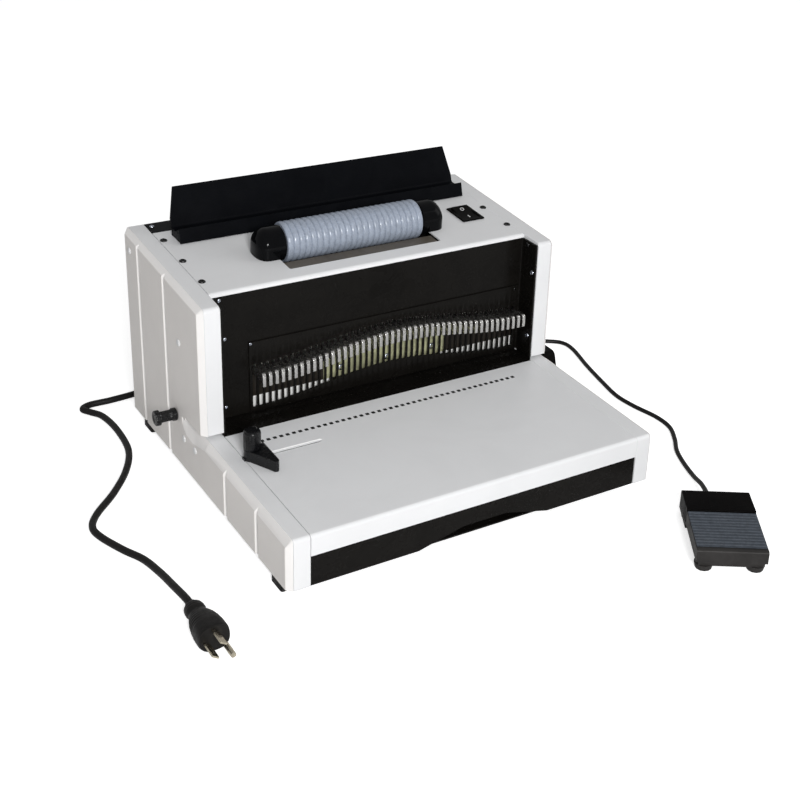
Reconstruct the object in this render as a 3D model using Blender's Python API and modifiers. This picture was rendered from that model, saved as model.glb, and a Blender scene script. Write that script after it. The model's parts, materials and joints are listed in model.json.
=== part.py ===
"""Electric coil binding machine with a foot pedal, modelled piece by piece.

The machine frame used below has X to the right, Y to the back and Z up. X is 0 midway between the side
frames, Y is 0 at the front edge of the head, and Z is 0 on the table that the machine stands on. At the end
the whole assembly is moved so that the origin lies below the centre of the machine and pedal together.
All lengths are in metres.
"""
import math

import bmesh
import bpy
from mathutils import Matrix, Vector

# Gaps
GAP = 0.0003
RUN_GAP = 0.0006
EDGE = 0.0005
MERGE = 0.00005

# Row of punch slots, which sets the width of the machine
SLOT_COUNT = 46
SLOT_PITCH = 0.00635
SLOT_MID_X = 0.0152
SLOT_FIRST_X = SLOT_MID_X - SLOT_PITCH * (SLOT_COUNT - 1) / 2
SLOT_LAST_X = SLOT_MID_X + SLOT_PITCH * (SLOT_COUNT - 1) / 2
ROW_MARGIN = 0.041625

# Housing
HALF_WIDTH = SLOT_PITCH * (SLOT_COUNT - 1) / 2 + ROW_MARGIN
COVER_THICKNESS = 0.0052
FRAME_THICKNESS = 0.0155
TABLE_FRONT_Y = -0.176
HEAD_BACK_Y = 0.1893
BASE_Z = 0.013
TABLE_FRONT_Z = 0.0625
TABLE_BACK_Z = 0.0658
HEAD_FRONT_Z = 0.1944
HEAD_BACK_Z = 0.207
HEAD_CORNER_R = 0.0045
TABLE_CORNER_R = 0.0035
BACK_CORNER_R = 0.003
COVER_CHAMFER = 0.0053
COVER_TABLE_CHAMFER = 0.0085
GROOVE_PITCH = 0.066
GROOVE_FIRST_INSET = 0.0622
GROOVE_FIRST_Y = TABLE_FRONT_Y + GROOVE_FIRST_INSET
GROOVE_STEPS = (0, 1, 3, 4)
GROOVE_WIDTH = 0.0065
GROOVE_DEPTH = 0.0029
SCOOP_LENGTH = 0.0505
SCOOP_DROP = 0.017
SCOOP_SHARES = ((-0.07, 1.0, 0.0), (0.1, 1.0, 0.29), (0.3, 1.0, 0.63), (0.52, 0.98, 1.0), (0.72, 0.9, 0.92),
                (0.86, 0.74, 0.78), (0.95, 0.5, 0.49), (1.0, 0.2, 0.1))
COVER_PLUG_R = 0.0027
COVER_PLUG_DEPTH = 0.0012
COVER_PLUG_PLACES_Y = (0.1715, 0.0502, 0.0465, 0.0198)
COVER_PLUG_PLACES_Z = (0.1887, 0.1432, 0.0455, 0.0464)
DRAWER_SIDE_PLUGS = 2
SHEET = 0.0018
INNER_HALF = HALF_WIDTH - FRAME_THICKNESS

# Table, paper throat and front
TABLE_FLANGE_Z = 0.0427
TABLE_REAR_Y = -0.0006
THROAT_HEIGHT = 0.0036
THROAT_DEPTH = 0.042
PLINTH_SETBACK = 0.0012
NOTCH_BOTTOM_HALF = 0.0675
NOTCH_TOP_HALF = 0.0225
NOTCH_HEIGHT = 0.0115
NOTCH_X = 0.0025
TRACK_Y = -0.0455
TRACK_WIDTH = 0.0034
TRACK_INSET = 0.0025
TRACK_LEFT_X = TRACK_INSET - INNER_HALF
TRACK_LENGTH = 0.0725
TRACK_RIGHT_X = TRACK_LEFT_X + TRACK_LENGTH

# Feet
FOOT_HALF_X = 0.01
FOOT_HALF_Y = 0.0105
FOOT_CORNER_R = 0.002
FOOT_INSET = 0.0078
FOOT_X = HALF_WIDTH - FOOT_INSET
FOOT_FRONT_INSET = 0.0305
FOOT_FRONT_Y = TABLE_FRONT_Y + FOOT_FRONT_INSET
FOOT_REAR_INSET = 0.0323
FOOT_REAR_Y = HEAD_BACK_Y - FOOT_REAR_INSET

# Recessed front panel and slot guard
PANEL_Y = 0.0253
PANEL_BOTTOM_Z = TABLE_BACK_Z + THROAT_HEIGHT
PANEL_RETURN_Y = 0.0012
GUARD_THICKNESS = 0.0014
GUARD_END = 0.005
GUARD_LEFT_X = SLOT_FIRST_X - GUARD_END
GUARD_RIGHT_X = SLOT_LAST_X + GUARD_END
GUARD_TOP_Z = 0.1418
GUARD_BOTTOM_Z = 0.0705
SLOT_WIDTH = 0.0041
SLOT_BOTTOM_Z = 0.0746
SLOT_HEIGHT = 0.0444
ARCH_RISE = 0.0145
WINDOW_SIDE_MARGIN = 0.002
WINDOW_TOP_MARGIN = 0.0075

# Punch
PUNCH_STROKE = 0.013
PIN_Y = 0.036
PIN_RADIUS = 0.0019
PIN_BOTTOM_Z = 0.0715
PIN_SIDES = 6
TAB_WIDTH = 0.0032
TAB_FRONT_Y = 0.0018
TAB_HEAD_LENGTH = 0.0115
TAB_BOTTOM_Z = 0.1053
TAB_HEIGHT = 0.0134
TAB_SHANK_DROP = 0.0022
TAB_PULL = 0.006
DIE_TOP_GAP = 0.0002
DIE_HEIGHT = 0.0095
GUIDE_FRONT_Y = 0.0314
GUIDE_BACK_Y = 0.0545
GUIDE_TOP_Z = 0.0747
GUIDE_LIP_Z = 0.0825
GUIDE_LIP_THICKNESS = 0.0021
GUIDE_END_GAP = 0.0028
GUIDE_HALF = INNER_HALF - GUIDE_END_GAP
RETAINER_FRONT_Y = 0.0296
RETAINER_THICKNESS = 0.0015
RETAINER_BOTTOM_Z = 0.0831
RETAINER_SCREW_Z = 0.0922
RETAINER_SCREW_PITCH = 0.0508
RETAINER_SCREW_R = 0.0031
RETAINER_SCREW_HEAD = 0.0012
RAM_BOTTOM_Z = 0.088
RAM_TOP_Z = 0.131
RAM_BACK_Y = 0.0615
RAM_END_MARGIN = 0.0085
POST_RADIUS = 0.0032
POST_Y = 0.0465
POST_TOP_Z = 0.1335
POST_INSET = 0.008

# Cam drive
CAM_Y = 0.0525
CAM_BASE_R = 0.01
CAM_GAP = 0.001
CAM_WIDTH = 0.009
CAM_X = 0.105
CAM_SHAFT_R = 0.006
CAM_SHAFT_SIDES = 16
BEARING_WIDTH = 0.009
BEARING_HALF = 0.0095
CAM_PULLEY_R = 0.0195
CAM_PULLEY_INSET = 0.021
CAM_PULLEY_X = CAM_PULLEY_INSET - INNER_HALF
PULLEY_WIDTH = 0.009
PULLEY_RIM = 0.0015
MOTOR_PULLEY_R = 0.0065
MOTOR_Y = 0.122
MOTOR_Z = 0.062
MOTOR_RADIUS = 0.027
MOTOR_LENGTH = 0.092
GEARBOX_LENGTH = 0.046
GEARBOX_HALF = 0.03
GEARBOX_INSET = 0.0105
GEARBOX_X = CAM_PULLEY_X + GEARBOX_INSET
BELT_THICKNESS = 0.0016
CAM_Z = RAM_TOP_Z + CAM_GAP + CAM_BASE_R

# Chip drawer
DRAWER_FRONT_Y = 0.0025
DRAWER_BACK_Y = 0.0475
DRAWER_BOTTOM_Z = 0.0205
DRAWER_TOP_Z = 0.0535
DRAWER_END_GAP = 0.006
DRAWER_LEFT_X = DRAWER_END_GAP - INNER_HALF
DRAWER_WALL = 0.0018
DRAWER_RAIL_WIDTH = 0.004
DRAWER_FACE_THICKNESS = 0.0125
DRAWER_FACE_TOP_Z = 0.0658
DRAWER_FACE_LEAN = 0.0075
DRAWER_FACE_KNEE_Z = 0.042
DRAWER_FACE_BOTTOM_Z = 0.0165
DRAWER_FACE_MARGIN = 0.0045
DRAWER_FACE_R = 0.008
DRAWER_PULL_DEPTH = 0.006
DRAWER_PULL_HEIGHT = 0.014
DRAWER_PULL_RISE = 0.0194
DRAWER_TRAVEL = 0.3

# Top cover, rear cover, coil tray
COVER_LIP_DROP = 0.0038
COVER_LIP_R = 0.0035
RECESS_FRONT_S = 0.165
REAR_BOTTOM_Z = BASE_Z + GAP
TRAY_LEFT_INSET = 0.0308
TRAY_RIGHT_INSET = 0.0244
TRAY_LEFT_X = TRAY_LEFT_INSET - HALF_WIDTH
TRAY_RIGHT_X = HALF_WIDTH - TRAY_RIGHT_INSET
TRAY_FRONT_S = 0.13
TRAY_LIP_LEAN = 0.0046
TRAY_LIP_HEIGHT = 0.0146
TRAY_FLOOR_FRONT_S = 0.1435
TRAY_FLOOR_HEIGHT = 0.0084
TRAY_PLATE_FOOT_S = 0.1535
TRAY_PLATE_TOP_S = 0.1665
TRAY_PLATE_TOP = 0.0446
TRAY_WALL = 0.0019
TRAY_END_TAPER = 0.0068
TOP_SCREW_R = 0.0032
TOP_SCREW_HEAD = 0.0014
TOP_SCREW_INSET = 0.0197
TOP_SCREW_X = HALF_WIDTH - TOP_SCREW_INSET
PANEL_SCREW_R = 0.0025
PANEL_SCREW_PLACES_Z = (0.1885, 0.1506, 0.0796)
RETURN_SCREW_PLACES_Y = (0.0165, 0.0062, 0.0072)
RETURN_SCREW_PLACES_Z = (0.188, 0.1615, 0.0918)
REAR_SCREW_R = 0.0022
TOP_SCREW_PLACES_S = (0.0517, 0.0973, 0.1455)
REAR_SCREW_INSET = 0.0208
REAR_SCREW_X = HALF_WIDTH - REAR_SCREW_INSET
REAR_SCREW_S = 0.1795

# Inserter roller
ROLLER_Y = 0.082
ROLLER_RISE = 0.009342
ROLLER_TOP_SHARE = ROLLER_Y / HEAD_BACK_Y
ROLLER_Z = HEAD_FRONT_Z + ROLLER_TOP_SHARE * (HEAD_BACK_Z - HEAD_FRONT_Z) + ROLLER_RISE
ROLLER_RADIUS = 0.0197
RIB_DEPTH = 0.0013
RIB_COUNT = 22
SLEEVE_INNER_R = 0.0155
CORE_RADIUS = SLEEVE_INNER_R - GAP
ROLLER_LEFT_X = -0.0735
ROLLER_RIGHT_X = 0.0725
ROLLER_SHAFT_R = 0.004
ROLLER_SIDES = 18
OPENING_LEFT_X = -0.081
OPENING_RIGHT_X = 0.0823
OPENING_FRONT_S = 0.0445
OPENING_BACK_S = 0.1215
TROUGH_RADIUS = 0.0235
CAP_RADIUS = 0.0172
CAP_START_X = 0.0745
CAP_DOME_X = 0.0895
CAP_END_X = 0.101
CAP_FOOT_HALF = 0.0165
CAP_FOOT_X = 0.0972
BUSH_RADIUS = 0.007
BUSH_LENGTH = 0.0075
CAP_CAVITY_R = 0.0125
ROLLER_PULLEY_R = 0.0085
ROLLER_PULLEY_X = 0.0895
ROLLER_PULLEY_WIDTH = 0.006
INSERTER_MOTOR_Z = 0.148
INSERTER_MOTOR_R = 0.017
INSERTER_MOTOR_LEFT_X = 0.02
INSERTER_MOTOR_RIGHT_X = 0.0835
INSERTER_BRACKET = 0.016

# Power switch
SWITCH_INSET = 0.0465
SWITCH_X = HALF_WIDTH - SWITCH_INSET
SWITCH_S = 0.0892
SWITCH_HALF_X = 0.0128
SWITCH_HALF_S = 0.0172
SWITCH_FLANGE = 0.0018
SWITCH_RIM = 0.0016
SWITCH_DEPTH = 0.021
SWITCH_WELL = 0.0095
ROCKER_CENTRE = 0.0012
ROCKER_END = 0.0042
ROCKER_DEPTH = 0.0052
ROCKER_TILT = math.radians(8)

# Depth knob
KNOB_Y = 0.064
KNOB_Z = 0.0636
KNOB_LENGTH = 0.0212
KNOB_R = 0.0074
KNOB_WAIST_R = 0.0054
KNOB_INNER_R = 0.0062
KNOB_FLANGE = 0.0048
KNOB_SHAFT_R = 0.0035
KNOB_SHAFT_LENGTH = 0.036

# Edge guide
GUIDE_KNOB_INSET = 0.0045
GUIDE_KNOB_X = TRACK_LEFT_X + GUIDE_KNOB_INSET
GUIDE_BOSS_R = 0.0076
GUIDE_FENCE_REACH = 0.0128
GUIDE_FENCE_X = GUIDE_KNOB_X + GUIDE_FENCE_REACH
GUIDE_TIP_Y = -0.0762
GUIDE_TIP_R = 0.0028
GUIDE_HEIGHT = 0.0108
GUIDE_KNOB_R = 0.0079
GUIDE_KNOB_HEIGHT = 0.0178
GUIDE_SHANK_R = 0.0014
GUIDE_HEEL_REACH = 0.0085
GUIDE_HEEL_X = GUIDE_KNOB_X - GUIDE_HEEL_REACH

# Foot pedal, in its own frame: Y to its rear, Z up, origin on the floor below its middle
PEDAL_X = 0.1925
PEDAL_Y = -0.2762
PEDAL_TURN = math.radians(-32.0)
PEDAL_HALF_X = 0.0316
PEDAL_HALF_Y = 0.0483
PEDAL_FLOOR = 0.005
PEDAL_WALL = 0.0022
PEDAL_WALL_TOP = 0.0105
PEDAL_REAR_TOP = 0.024
PEDAL_HOOD_FRONT_TOP = 0.025
PEDAL_HOOD_DEPTH = 0.0355
PEDAL_FOOT_R = 0.0088
PEDAL_FOOT_IN = 0.0088
TREAD_FRONT_TOP = 0.0222
TREAD_REAR_TOP = 0.0228
TREAD_SKIRT_BOTTOM = 0.0103
TREAD_SIDE = 0.0018
TREAD_GAP = 0.0008
MAT_MARGIN_FRONT = 0.0058
MAT_THICKNESS = 0.0013
MAT_RIB_COUNT = 12
PEDAL_PIN_R = 0.0016
PEDAL_PIN_Z = 0.0135
PEDAL_PIN_SETBACK = 0.004
PEDAL_PIN_Y = PEDAL_HALF_Y - PEDAL_HOOD_DEPTH - PEDAL_PIN_SETBACK
NOTCH_SIDE = 0.004

# Cords, plug and grommets
CORD_R = 0.0033
PEDAL_CORD_R = 0.0023
CORD_STEP_DIAMETERS = 2.8
GROMMET_R = 0.0078
GROMMET_LENGTH = 0.0205
GROMMET_TIP_R = 0.0049
GROMMET_X = -0.128
GROMMET_Z = 0.036
PEDAL_GROMMET_X = 0.148
PEDAL_GROMMET_Z = 0.036
PEDAL_GROMMET_R = 0.0062
PEDAL_GROMMET_LENGTH = 0.018
PEDAL_GROMMET_TIP_R = 0.0036
PEDAL_INLET_X = -0.0048
PEDAL_INLET_Z = 0.0145
PLUG_X = -0.2635
PLUG_NECK_Y = -0.15
PLUG_Z = 0.0124
PLUG_BODY_LENGTH = 0.0495
PLUG_RADIUS = 0.0135
PLUG_FLATTENING = 0.9
PLUG_ROLL = math.radians(-33.0)
BLADE_LENGTH = 0.0176
BLADE_HALF_SPACING = 0.00635
BLADE_WIDTH = 0.0063
BLADE_THICKNESS = 0.0015
EARTH_RADIUS = 0.0024
EARTH_LENGTH = 0.0205
EARTH_OFFSET = 0.0119
BLADE_SHIFT = 0.004

HEAD_SLOPE = math.atan2(HEAD_BACK_Z - HEAD_FRONT_Z, HEAD_BACK_Y)
TABLE_SLOPE = math.atan2(TABLE_BACK_Z - TABLE_FRONT_Z, -TABLE_FRONT_Y)

WHITE = ((0.80, 0.81, 0.82), 0.42, 0.0)
SIDE_GREY = ((0.52, 0.48, 0.44), 0.45, 0.0)
BLACK_PAINT = ((0.016, 0.015, 0.014), 0.32, 0.0)
BLACK_PLASTIC = ((0.012, 0.012, 0.013), 0.4, 0.0)
BLACK_RUBBER = ((0.02, 0.02, 0.02), 0.75, 0.0)
ROLLER_RUBBER = ((0.30, 0.33, 0.38), 0.6, 0.0)
TREAD_RUBBER = ((0.06, 0.07, 0.10), 0.7, 0.0)
STEEL = ((0.72, 0.72, 0.70), 0.3, 1.0)
DARK_STEEL = ((0.20, 0.20, 0.20), 0.4, 1.0)
ZINC = ((0.62, 0.58, 0.30), 0.35, 1.0)
TROUGH_METAL = ((0.20, 0.17, 0.13), 0.45, 0.8)
BRASS = ((0.70, 0.62, 0.40), 0.3, 1.0)
BRONZE = ((0.45, 0.30, 0.15), 0.4, 1.0)
LIGHT_PLASTIC = ((0.75, 0.75, 0.74), 0.5, 0.0)


# Scene and helpers

def clear_scene():
    """Remove whatever the file opened with."""
    for old in list(bpy.data.objects):
        bpy.data.objects.remove(old, do_unlink=True)


def new_collection(name):
    """Make a collection in the scene."""
    made = bpy.data.collections.new(name)
    bpy.context.scene.collection.children.link(made)
    return made


def material(name, finish):
    """Make one sub-part's own Principled material."""
    colour, roughness, metallic = finish
    made = bpy.data.materials.new(name)
    made.use_nodes = True
    made.diffuse_color = (*colour, 1)
    shader = made.node_tree.nodes["Principled BSDF"]
    shader.inputs["Base Color"].default_value = (*colour, 1)
    shader.inputs["Roughness"].default_value = roughness
    shader.inputs["Metallic"].default_value = metallic
    return made


def frame_empty(name, parent=None, location=(0, 0, 0), turn=(0, 0, 0)):
    """Make an empty that carries a group of pieces."""
    made = bpy.data.objects.new(name, None)
    made.location = location
    made.rotation_euler = turn
    made.parent = parent
    PARTS.objects.link(made)
    return made


def add_mesh(name, mesh, finish, parent, matrix=None):
    """Make an object from a mesh; a finish of None makes it a cutter."""
    made = bpy.data.objects.new(name, mesh)
    if finish is None:
        CUTTERS.objects.link(made)
        made.hide_render = True
        made.display_type = "WIRE"
    else:
        PARTS.objects.link(made)
        mesh.materials.append(material(name, finish))
    if matrix is not None:
        made.matrix_basis = matrix
    made.parent = parent
    return made


def mesh_from_bmesh(name, build):
    """Write a bmesh into a new mesh."""
    mesh = bpy.data.meshes.new(name)
    build.to_mesh(mesh)
    build.free()
    return mesh


def box(name, low, high, finish, parent):
    """Make a box between two corners, with its origin in its middle."""
    low = Vector(low)
    high = Vector(high)
    build = bmesh.new()
    bmesh.ops.create_cube(build, size=1)
    bmesh.ops.scale(build, vec=high - low, verts=build.verts)
    return add_mesh(name, mesh_from_bmesh(name, build), finish, parent,
                    Matrix.Translation((low + high) / 2))


AXIS_TURNS = {
    "X": Matrix(((0, 0, 1, 0), (1, 0, 0, 0), (0, 1, 0, 0), (0, 0, 0, 1))),
    "Y": Matrix(((1, 0, 0, 0), (0, 0, -1, 0), (0, 1, 0, 0), (0, 0, 0, 1))),
    "Z": Matrix.Identity(4),
}


def rod(name, radius, start, end, axis, finish, parent, sides=16, end_radius=None):
    """Make a cylinder or cone along an axis, between a point and a length along that axis."""
    start = Vector(start)
    length = end - start["XYZ".index(axis)]
    build = bmesh.new()
    bmesh.ops.create_cone(build, cap_ends=True, segments=sides, radius1=radius,
                          radius2=radius if end_radius is None else end_radius, depth=abs(length))
    turn = AXIS_TURNS[axis].copy()
    if axis == "Y":
        turn = Matrix.Rotation(math.radians(-90), 4, "X")
    middle = start.copy()
    middle["XYZ".index(axis)] += length / 2
    if length < 0:
        bmesh.ops.rotate(build, verts=build.verts, matrix=Matrix.Rotation(math.pi, 3, "X"))
    made = add_mesh(name, mesh_from_bmesh(name, build), finish, parent, Matrix.Translation(middle) @ turn)
    smooth(made)
    return made


def smooth(made, angle=35):
    """Shade a round piece smooth, keeping its edges sharp."""
    made.data.shade_smooth()
    made.data.set_sharp_from_angle(angle=math.radians(angle))


def as_mesh(curve_object, finish, parent):
    """Turn a filled curve object into a welded mesh object."""
    bpy.context.view_layer.update()
    evaluated = curve_object.evaluated_get(bpy.context.evaluated_depsgraph_get())
    mesh = bpy.data.meshes.new_from_object(evaluated)
    name = curve_object.name
    matrix = curve_object.matrix_world.copy()
    bpy.data.objects.remove(curve_object, do_unlink=True)
    build = bmesh.new()
    build.from_mesh(mesh)
    bmesh.ops.remove_doubles(build, verts=build.verts, dist=1e-6)
    bmesh.ops.recalc_face_normals(build, faces=build.faces)
    build.to_mesh(mesh)
    build.free()
    mesh.name = name
    return add_mesh(name, mesh, finish, parent, matrix)


def plate(name, outline, start, end, axis, finish, parent, holes=()):
    """Extrude a flat outline, with holes, from start to end along an axis.

    The outline is in (y, z) for axis X, in (x, z) for axis Y and in (x, y) for axis Z.
    """
    curve = bpy.data.curves.new(name, "CURVE")
    curve.dimensions = "2D"
    curve.fill_mode = "BOTH"
    curve.extrude = (end - start) / 2
    for loop in (outline, *holes):
        spline = curve.splines.new("POLY")
        spline.points.add(len(loop) - 1)
        for point, (u, v) in zip(spline.points, loop):
            point.co = (u, v, 0, 1)
        spline.use_cyclic_u = True
    made = bpy.data.objects.new(name, curve)
    PARTS.objects.link(made)
    middle = (start + end) / 2
    offset = -middle if axis == "Y" else middle
    made.matrix_world = AXIS_TURNS[axis] @ Matrix.Translation((0, 0, offset))
    return as_mesh(made, finish, parent)


def turned(name, profile, axis, place, finish, parent, sides=24, closed=False):
    """Turn a profile of (radius, along) points about an axis through a place.

    The profile runs from the top end down its outer side; a closed one comes back up its bore.
    """
    mesh = bpy.data.meshes.new(name)
    points = [(radius, 0, along) for radius, along in profile]
    edges = [(i, i + 1) for i in range(len(points) - 1)]
    if closed:
        edges.append((len(points) - 1, 0))
    mesh.from_pydata(points, edges, [])
    turn = Matrix.Rotation(math.radians(-90), 4, "X") if axis == "Y" else AXIS_TURNS[axis]
    made = add_mesh(name, mesh, finish, parent, Matrix.Translation(place) @ turn)
    screw = made.modifiers.new("turn", "SCREW")
    screw.steps = sides
    screw.render_steps = sides
    screw.use_merge_vertices = True
    screw.merge_threshold = MERGE
    screw.use_smooth_shade = True
    return made


def boolean(made, other, operation):
    """Add one Boolean modifier."""
    modifier = made.modifiers.new(other.name, "BOOLEAN")
    modifier.operation = operation
    modifier.object = other
    modifier.solver = "EXACT"


def cut(made, *cutters):
    """Cut a piece by one or more cutters."""
    for cutter in cutters:
        boolean(made, cutter, "DIFFERENCE")


def unite(made, *others):
    """Join guide shapes to a piece, as one body."""
    for other in others:
        boolean(made, other, "UNION")


def bevel(made, width, segments=1, angle=40):
    """Round or chamfer a piece's sharp edges."""
    modifier = made.modifiers.new("edges", "BEVEL")
    modifier.width = width
    modifier.segments = segments
    modifier.limit_method = "ANGLE"
    modifier.angle_limit = math.radians(angle)
    return modifier


def filleted(points, radii, steps=3, closed=True):
    """Round the corners of an outline with arcs of the given radii."""
    out = []
    count = len(points)
    for i, (point, radius) in enumerate(zip(points, radii)):
        if not radius or (not closed and i in (0, count - 1)):
            out.append(point)
            continue
        corner = Vector(point)
        back = (Vector(points[i - 1]) - corner).normalized()
        ahead = (Vector(points[(i + 1) % count]) - corner).normalized()
        half = back.angle(ahead) / 2
        reach = radius / math.tan(half)
        centre = corner + (back + ahead).normalized() * (radius / math.sin(half))
        first = corner + back * reach - centre
        last = corner + ahead * reach - centre
        sweep = first.angle_signed(last)
        for k in range(steps + 1):
            turn = Matrix.Rotation(-sweep * k / steps, 2)
            out.append(tuple(centre + turn @ first))
    return out


def ribbon(path, thickness):
    """Give a path the thickness of sheet metal, to the left of its direction, as a closed outline."""
    far = []
    for i, point in enumerate(path):
        here = Vector(point)
        before = (here - Vector(path[i - 1])).normalized() if i > 0 else None
        after = (Vector(path[i + 1]) - here).normalized() if i < len(path) - 1 else None
        before = before or after
        after = after or before
        normal = (Vector((-before.y, before.x)) + Vector((-after.y, after.x))).normalized()
        stretch = thickness / max(0.3, normal.dot(Vector((-before.y, before.x))))
        far.append(tuple(here + normal * stretch))
    return list(path) + far[::-1]


def circle(centre_u, centre_v, radius, sides=12, start=0.0):
    """Points of a circle."""
    return [(centre_u + radius * math.cos(start + 2 * math.pi * k / sides),
             centre_v + radius * math.sin(start + 2 * math.pi * k / sides)) for k in range(sides)]


def arc(centre_u, centre_v, radius, start, end, steps):
    """Points of an arc between two angles in radians."""
    return [(centre_u + radius * math.cos(start + (end - start) * k / steps),
             centre_v + radius * math.sin(start + (end - start) * k / steps)) for k in range(steps + 1)]


def rectangle(left, low, right, high):
    """Points of a rectangle."""
    return [(left, low), (right, low), (right, high), (left, high)]


def belt_loop(first, first_r, second, second_r, steps=7):
    """Points of a belt's path round two pulleys, given as centres and radii."""
    ahead = Vector(second) - Vector(first)
    bearing = math.atan2(ahead.y, ahead.x)
    lean = math.acos((first_r - second_r) / ahead.length)
    near = arc(*first, first_r / math.cos((math.pi - lean) / steps), bearing + lean, bearing + 2 * math.pi - lean,
               steps)
    far = arc(*second, second_r / math.cos(lean / steps), bearing - lean, bearing + lean, steps)
    return near + far


def table_z(y):
    """Height of the table top."""
    return TABLE_BACK_Z + y * math.tan(TABLE_SLOPE)


def head_z(y):
    """Height of the head's top."""
    return HEAD_FRONT_Z + y * math.tan(HEAD_SLOPE)


def arch(x):
    """Rise of the slot row above its ends: a smooth crown that levels off at the middle and the ends."""
    share = abs(x - SLOT_MID_X) / (SLOT_PITCH * (SLOT_COUNT - 1) / 2)
    return ARCH_RISE * (1 + math.cos(math.pi * min(1, share))) / 2


def slot_places():
    """X of every slot, left to right."""
    return [SLOT_FIRST_X + SLOT_PITCH * i for i in range(SLOT_COUNT)]


# Housing

def side_outline(trim=0.0, inset=0.0, table_inset=0.0):
    """Side view of the housing: low table in front, tall head behind.

    The trim moves the two ends in, and the insets also lower the head's top and front and the table's top.
    """
    low = BASE_Z
    front = TABLE_FRONT_Y + trim + inset
    back = HEAD_BACK_Y - trim - inset
    points = [(front, low), (back, low), (back, HEAD_BACK_Z - inset), (inset, HEAD_FRONT_Z - inset),
              (inset, TABLE_BACK_Z - table_inset), (front, TABLE_FRONT_Z - table_inset)]
    radii = [max(radius - inset, EDGE) for radius in (BACK_CORNER_R, HEAD_CORNER_R, TABLE_CORNER_R)]
    return filleted(points, (0, 0, radii[0], radii[1], 0, radii[2]), steps=3)


def loft(name, rings, finish, parent):
    """Join closed rings of one count of points into a solid, with a cap at each end."""
    build = bmesh.new()
    loops = [[build.verts.new(point) for point in ring] for ring in rings]
    count = len(rings[0])
    for lower, upper in zip(loops, loops[1:]):
        for k in range(count):
            build.faces.new((lower[k], lower[(k + 1) % count], upper[(k + 1) % count], upper[k]))
    build.faces.new(loops[0][::-1])
    build.faces.new(loops[-1])
    bmesh.ops.recalc_face_normals(build, faces=build.faces)
    return add_mesh(name, mesh_from_bmesh(name, build), finish, parent)


def throat_cutter(side):
    """The open end of the paper throat through one side of the head."""
    near = side * (INNER_HALF - FRAME_THICKNESS)
    far = side * (HALF_WIDTH + COVER_THICKNESS * 2)
    outline = [(-THROAT_HEIGHT, table_z(-THROAT_HEIGHT)), (THROAT_DEPTH, table_z(THROAT_DEPTH)),
               (THROAT_DEPTH, TABLE_BACK_Z + THROAT_HEIGHT), (-THROAT_HEIGHT, TABLE_BACK_Z + THROAT_HEIGHT)]
    return plate("throat_cut", outline, min(near, far), max(near, far), "X", None, MACHINE)


def drawer_cutter(side_reach):
    """Opening for the chip drawer through the right side."""
    return box("drawer_cut", (INNER_HALF - FRAME_THICKNESS, DRAWER_FRONT_Y - RUN_GAP, DRAWER_BOTTOM_Z - RUN_GAP),
               (HALF_WIDTH + side_reach, DRAWER_BACK_Y + RUN_GAP, DRAWER_TOP_Z + RUN_GAP), None, MACHINE)


def side_frames():
    """Two L-shaped side frames, with the open ends of the paper throat."""
    for side, name in ((-1, "left_side_frame"), (1, "right_side_frame")):
        start, end = sorted((side * INNER_HALF, side * HALF_WIDTH))
        made = plate(name, side_outline(), start, end, "X", WHITE, MACHINE)
        cut(made, throat_cutter(side))
        if side > 0:
            cut(made, drawer_cutter(COVER_THICKNESS))
        if side < 0:
            hole_start = (-HALF_WIDTH - COVER_THICKNESS, KNOB_Y, KNOB_Z)
            cut(made, rod("knob_bore", KNOB_SHAFT_R + GAP, hole_start, -INNER_HALF + COVER_THICKNESS, "X", None,
                          MACHINE))


def groove_cutter(side, y):
    """Upright V groove in the outer face of a side cover."""
    face = side * (HALF_WIDTH + COVER_THICKNESS)
    outline = [(face + side * GROOVE_DEPTH, y - GROOVE_WIDTH), (face + side * GROOVE_DEPTH, y + GROOVE_WIDTH),
               (face - side * GROOVE_DEPTH, y)]
    if side < 0:
        outline.reverse()
    return plate("groove_cut", outline, BASE_Z - GROOVE_WIDTH, HEAD_BACK_Z + GROOVE_WIDTH, "Z", None, MACHINE)


def scoop_cutter(side):
    """Finger scoop that carries the table's side chamfer back under the head, deepens and ends in a round tip."""
    face = side * (HALF_WIDTH + COVER_THICKNESS)
    rings = []
    for share, depth_share, drop_share in SCOOP_SHARES:
        y = SCOOP_LENGTH * share
        drop = COVER_TABLE_CHAMFER + (SCOOP_DROP - COVER_TABLE_CHAMFER) * drop_share
        depth = max(COVER_THICKNESS * depth_share, EDGE)
        inner = face - side * (depth - GAP)
        beyond = EDGE * drop / depth
        top = table_z(y) + GAP
        rings.append([(inner, y, top), (face + side * EDGE, y, table_z(y) - drop - beyond),
                      (face + side * EDGE, y, top)])
    return loft("scoop_cut", rings, None, MACHINE)


def plug_place(side, index):
    """Where a round plug of a side cover sits."""
    face = side * (HALF_WIDTH + COVER_THICKNESS)
    return face, COVER_PLUG_PLACES_Y[index], COVER_PLUG_PLACES_Z[index]


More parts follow.
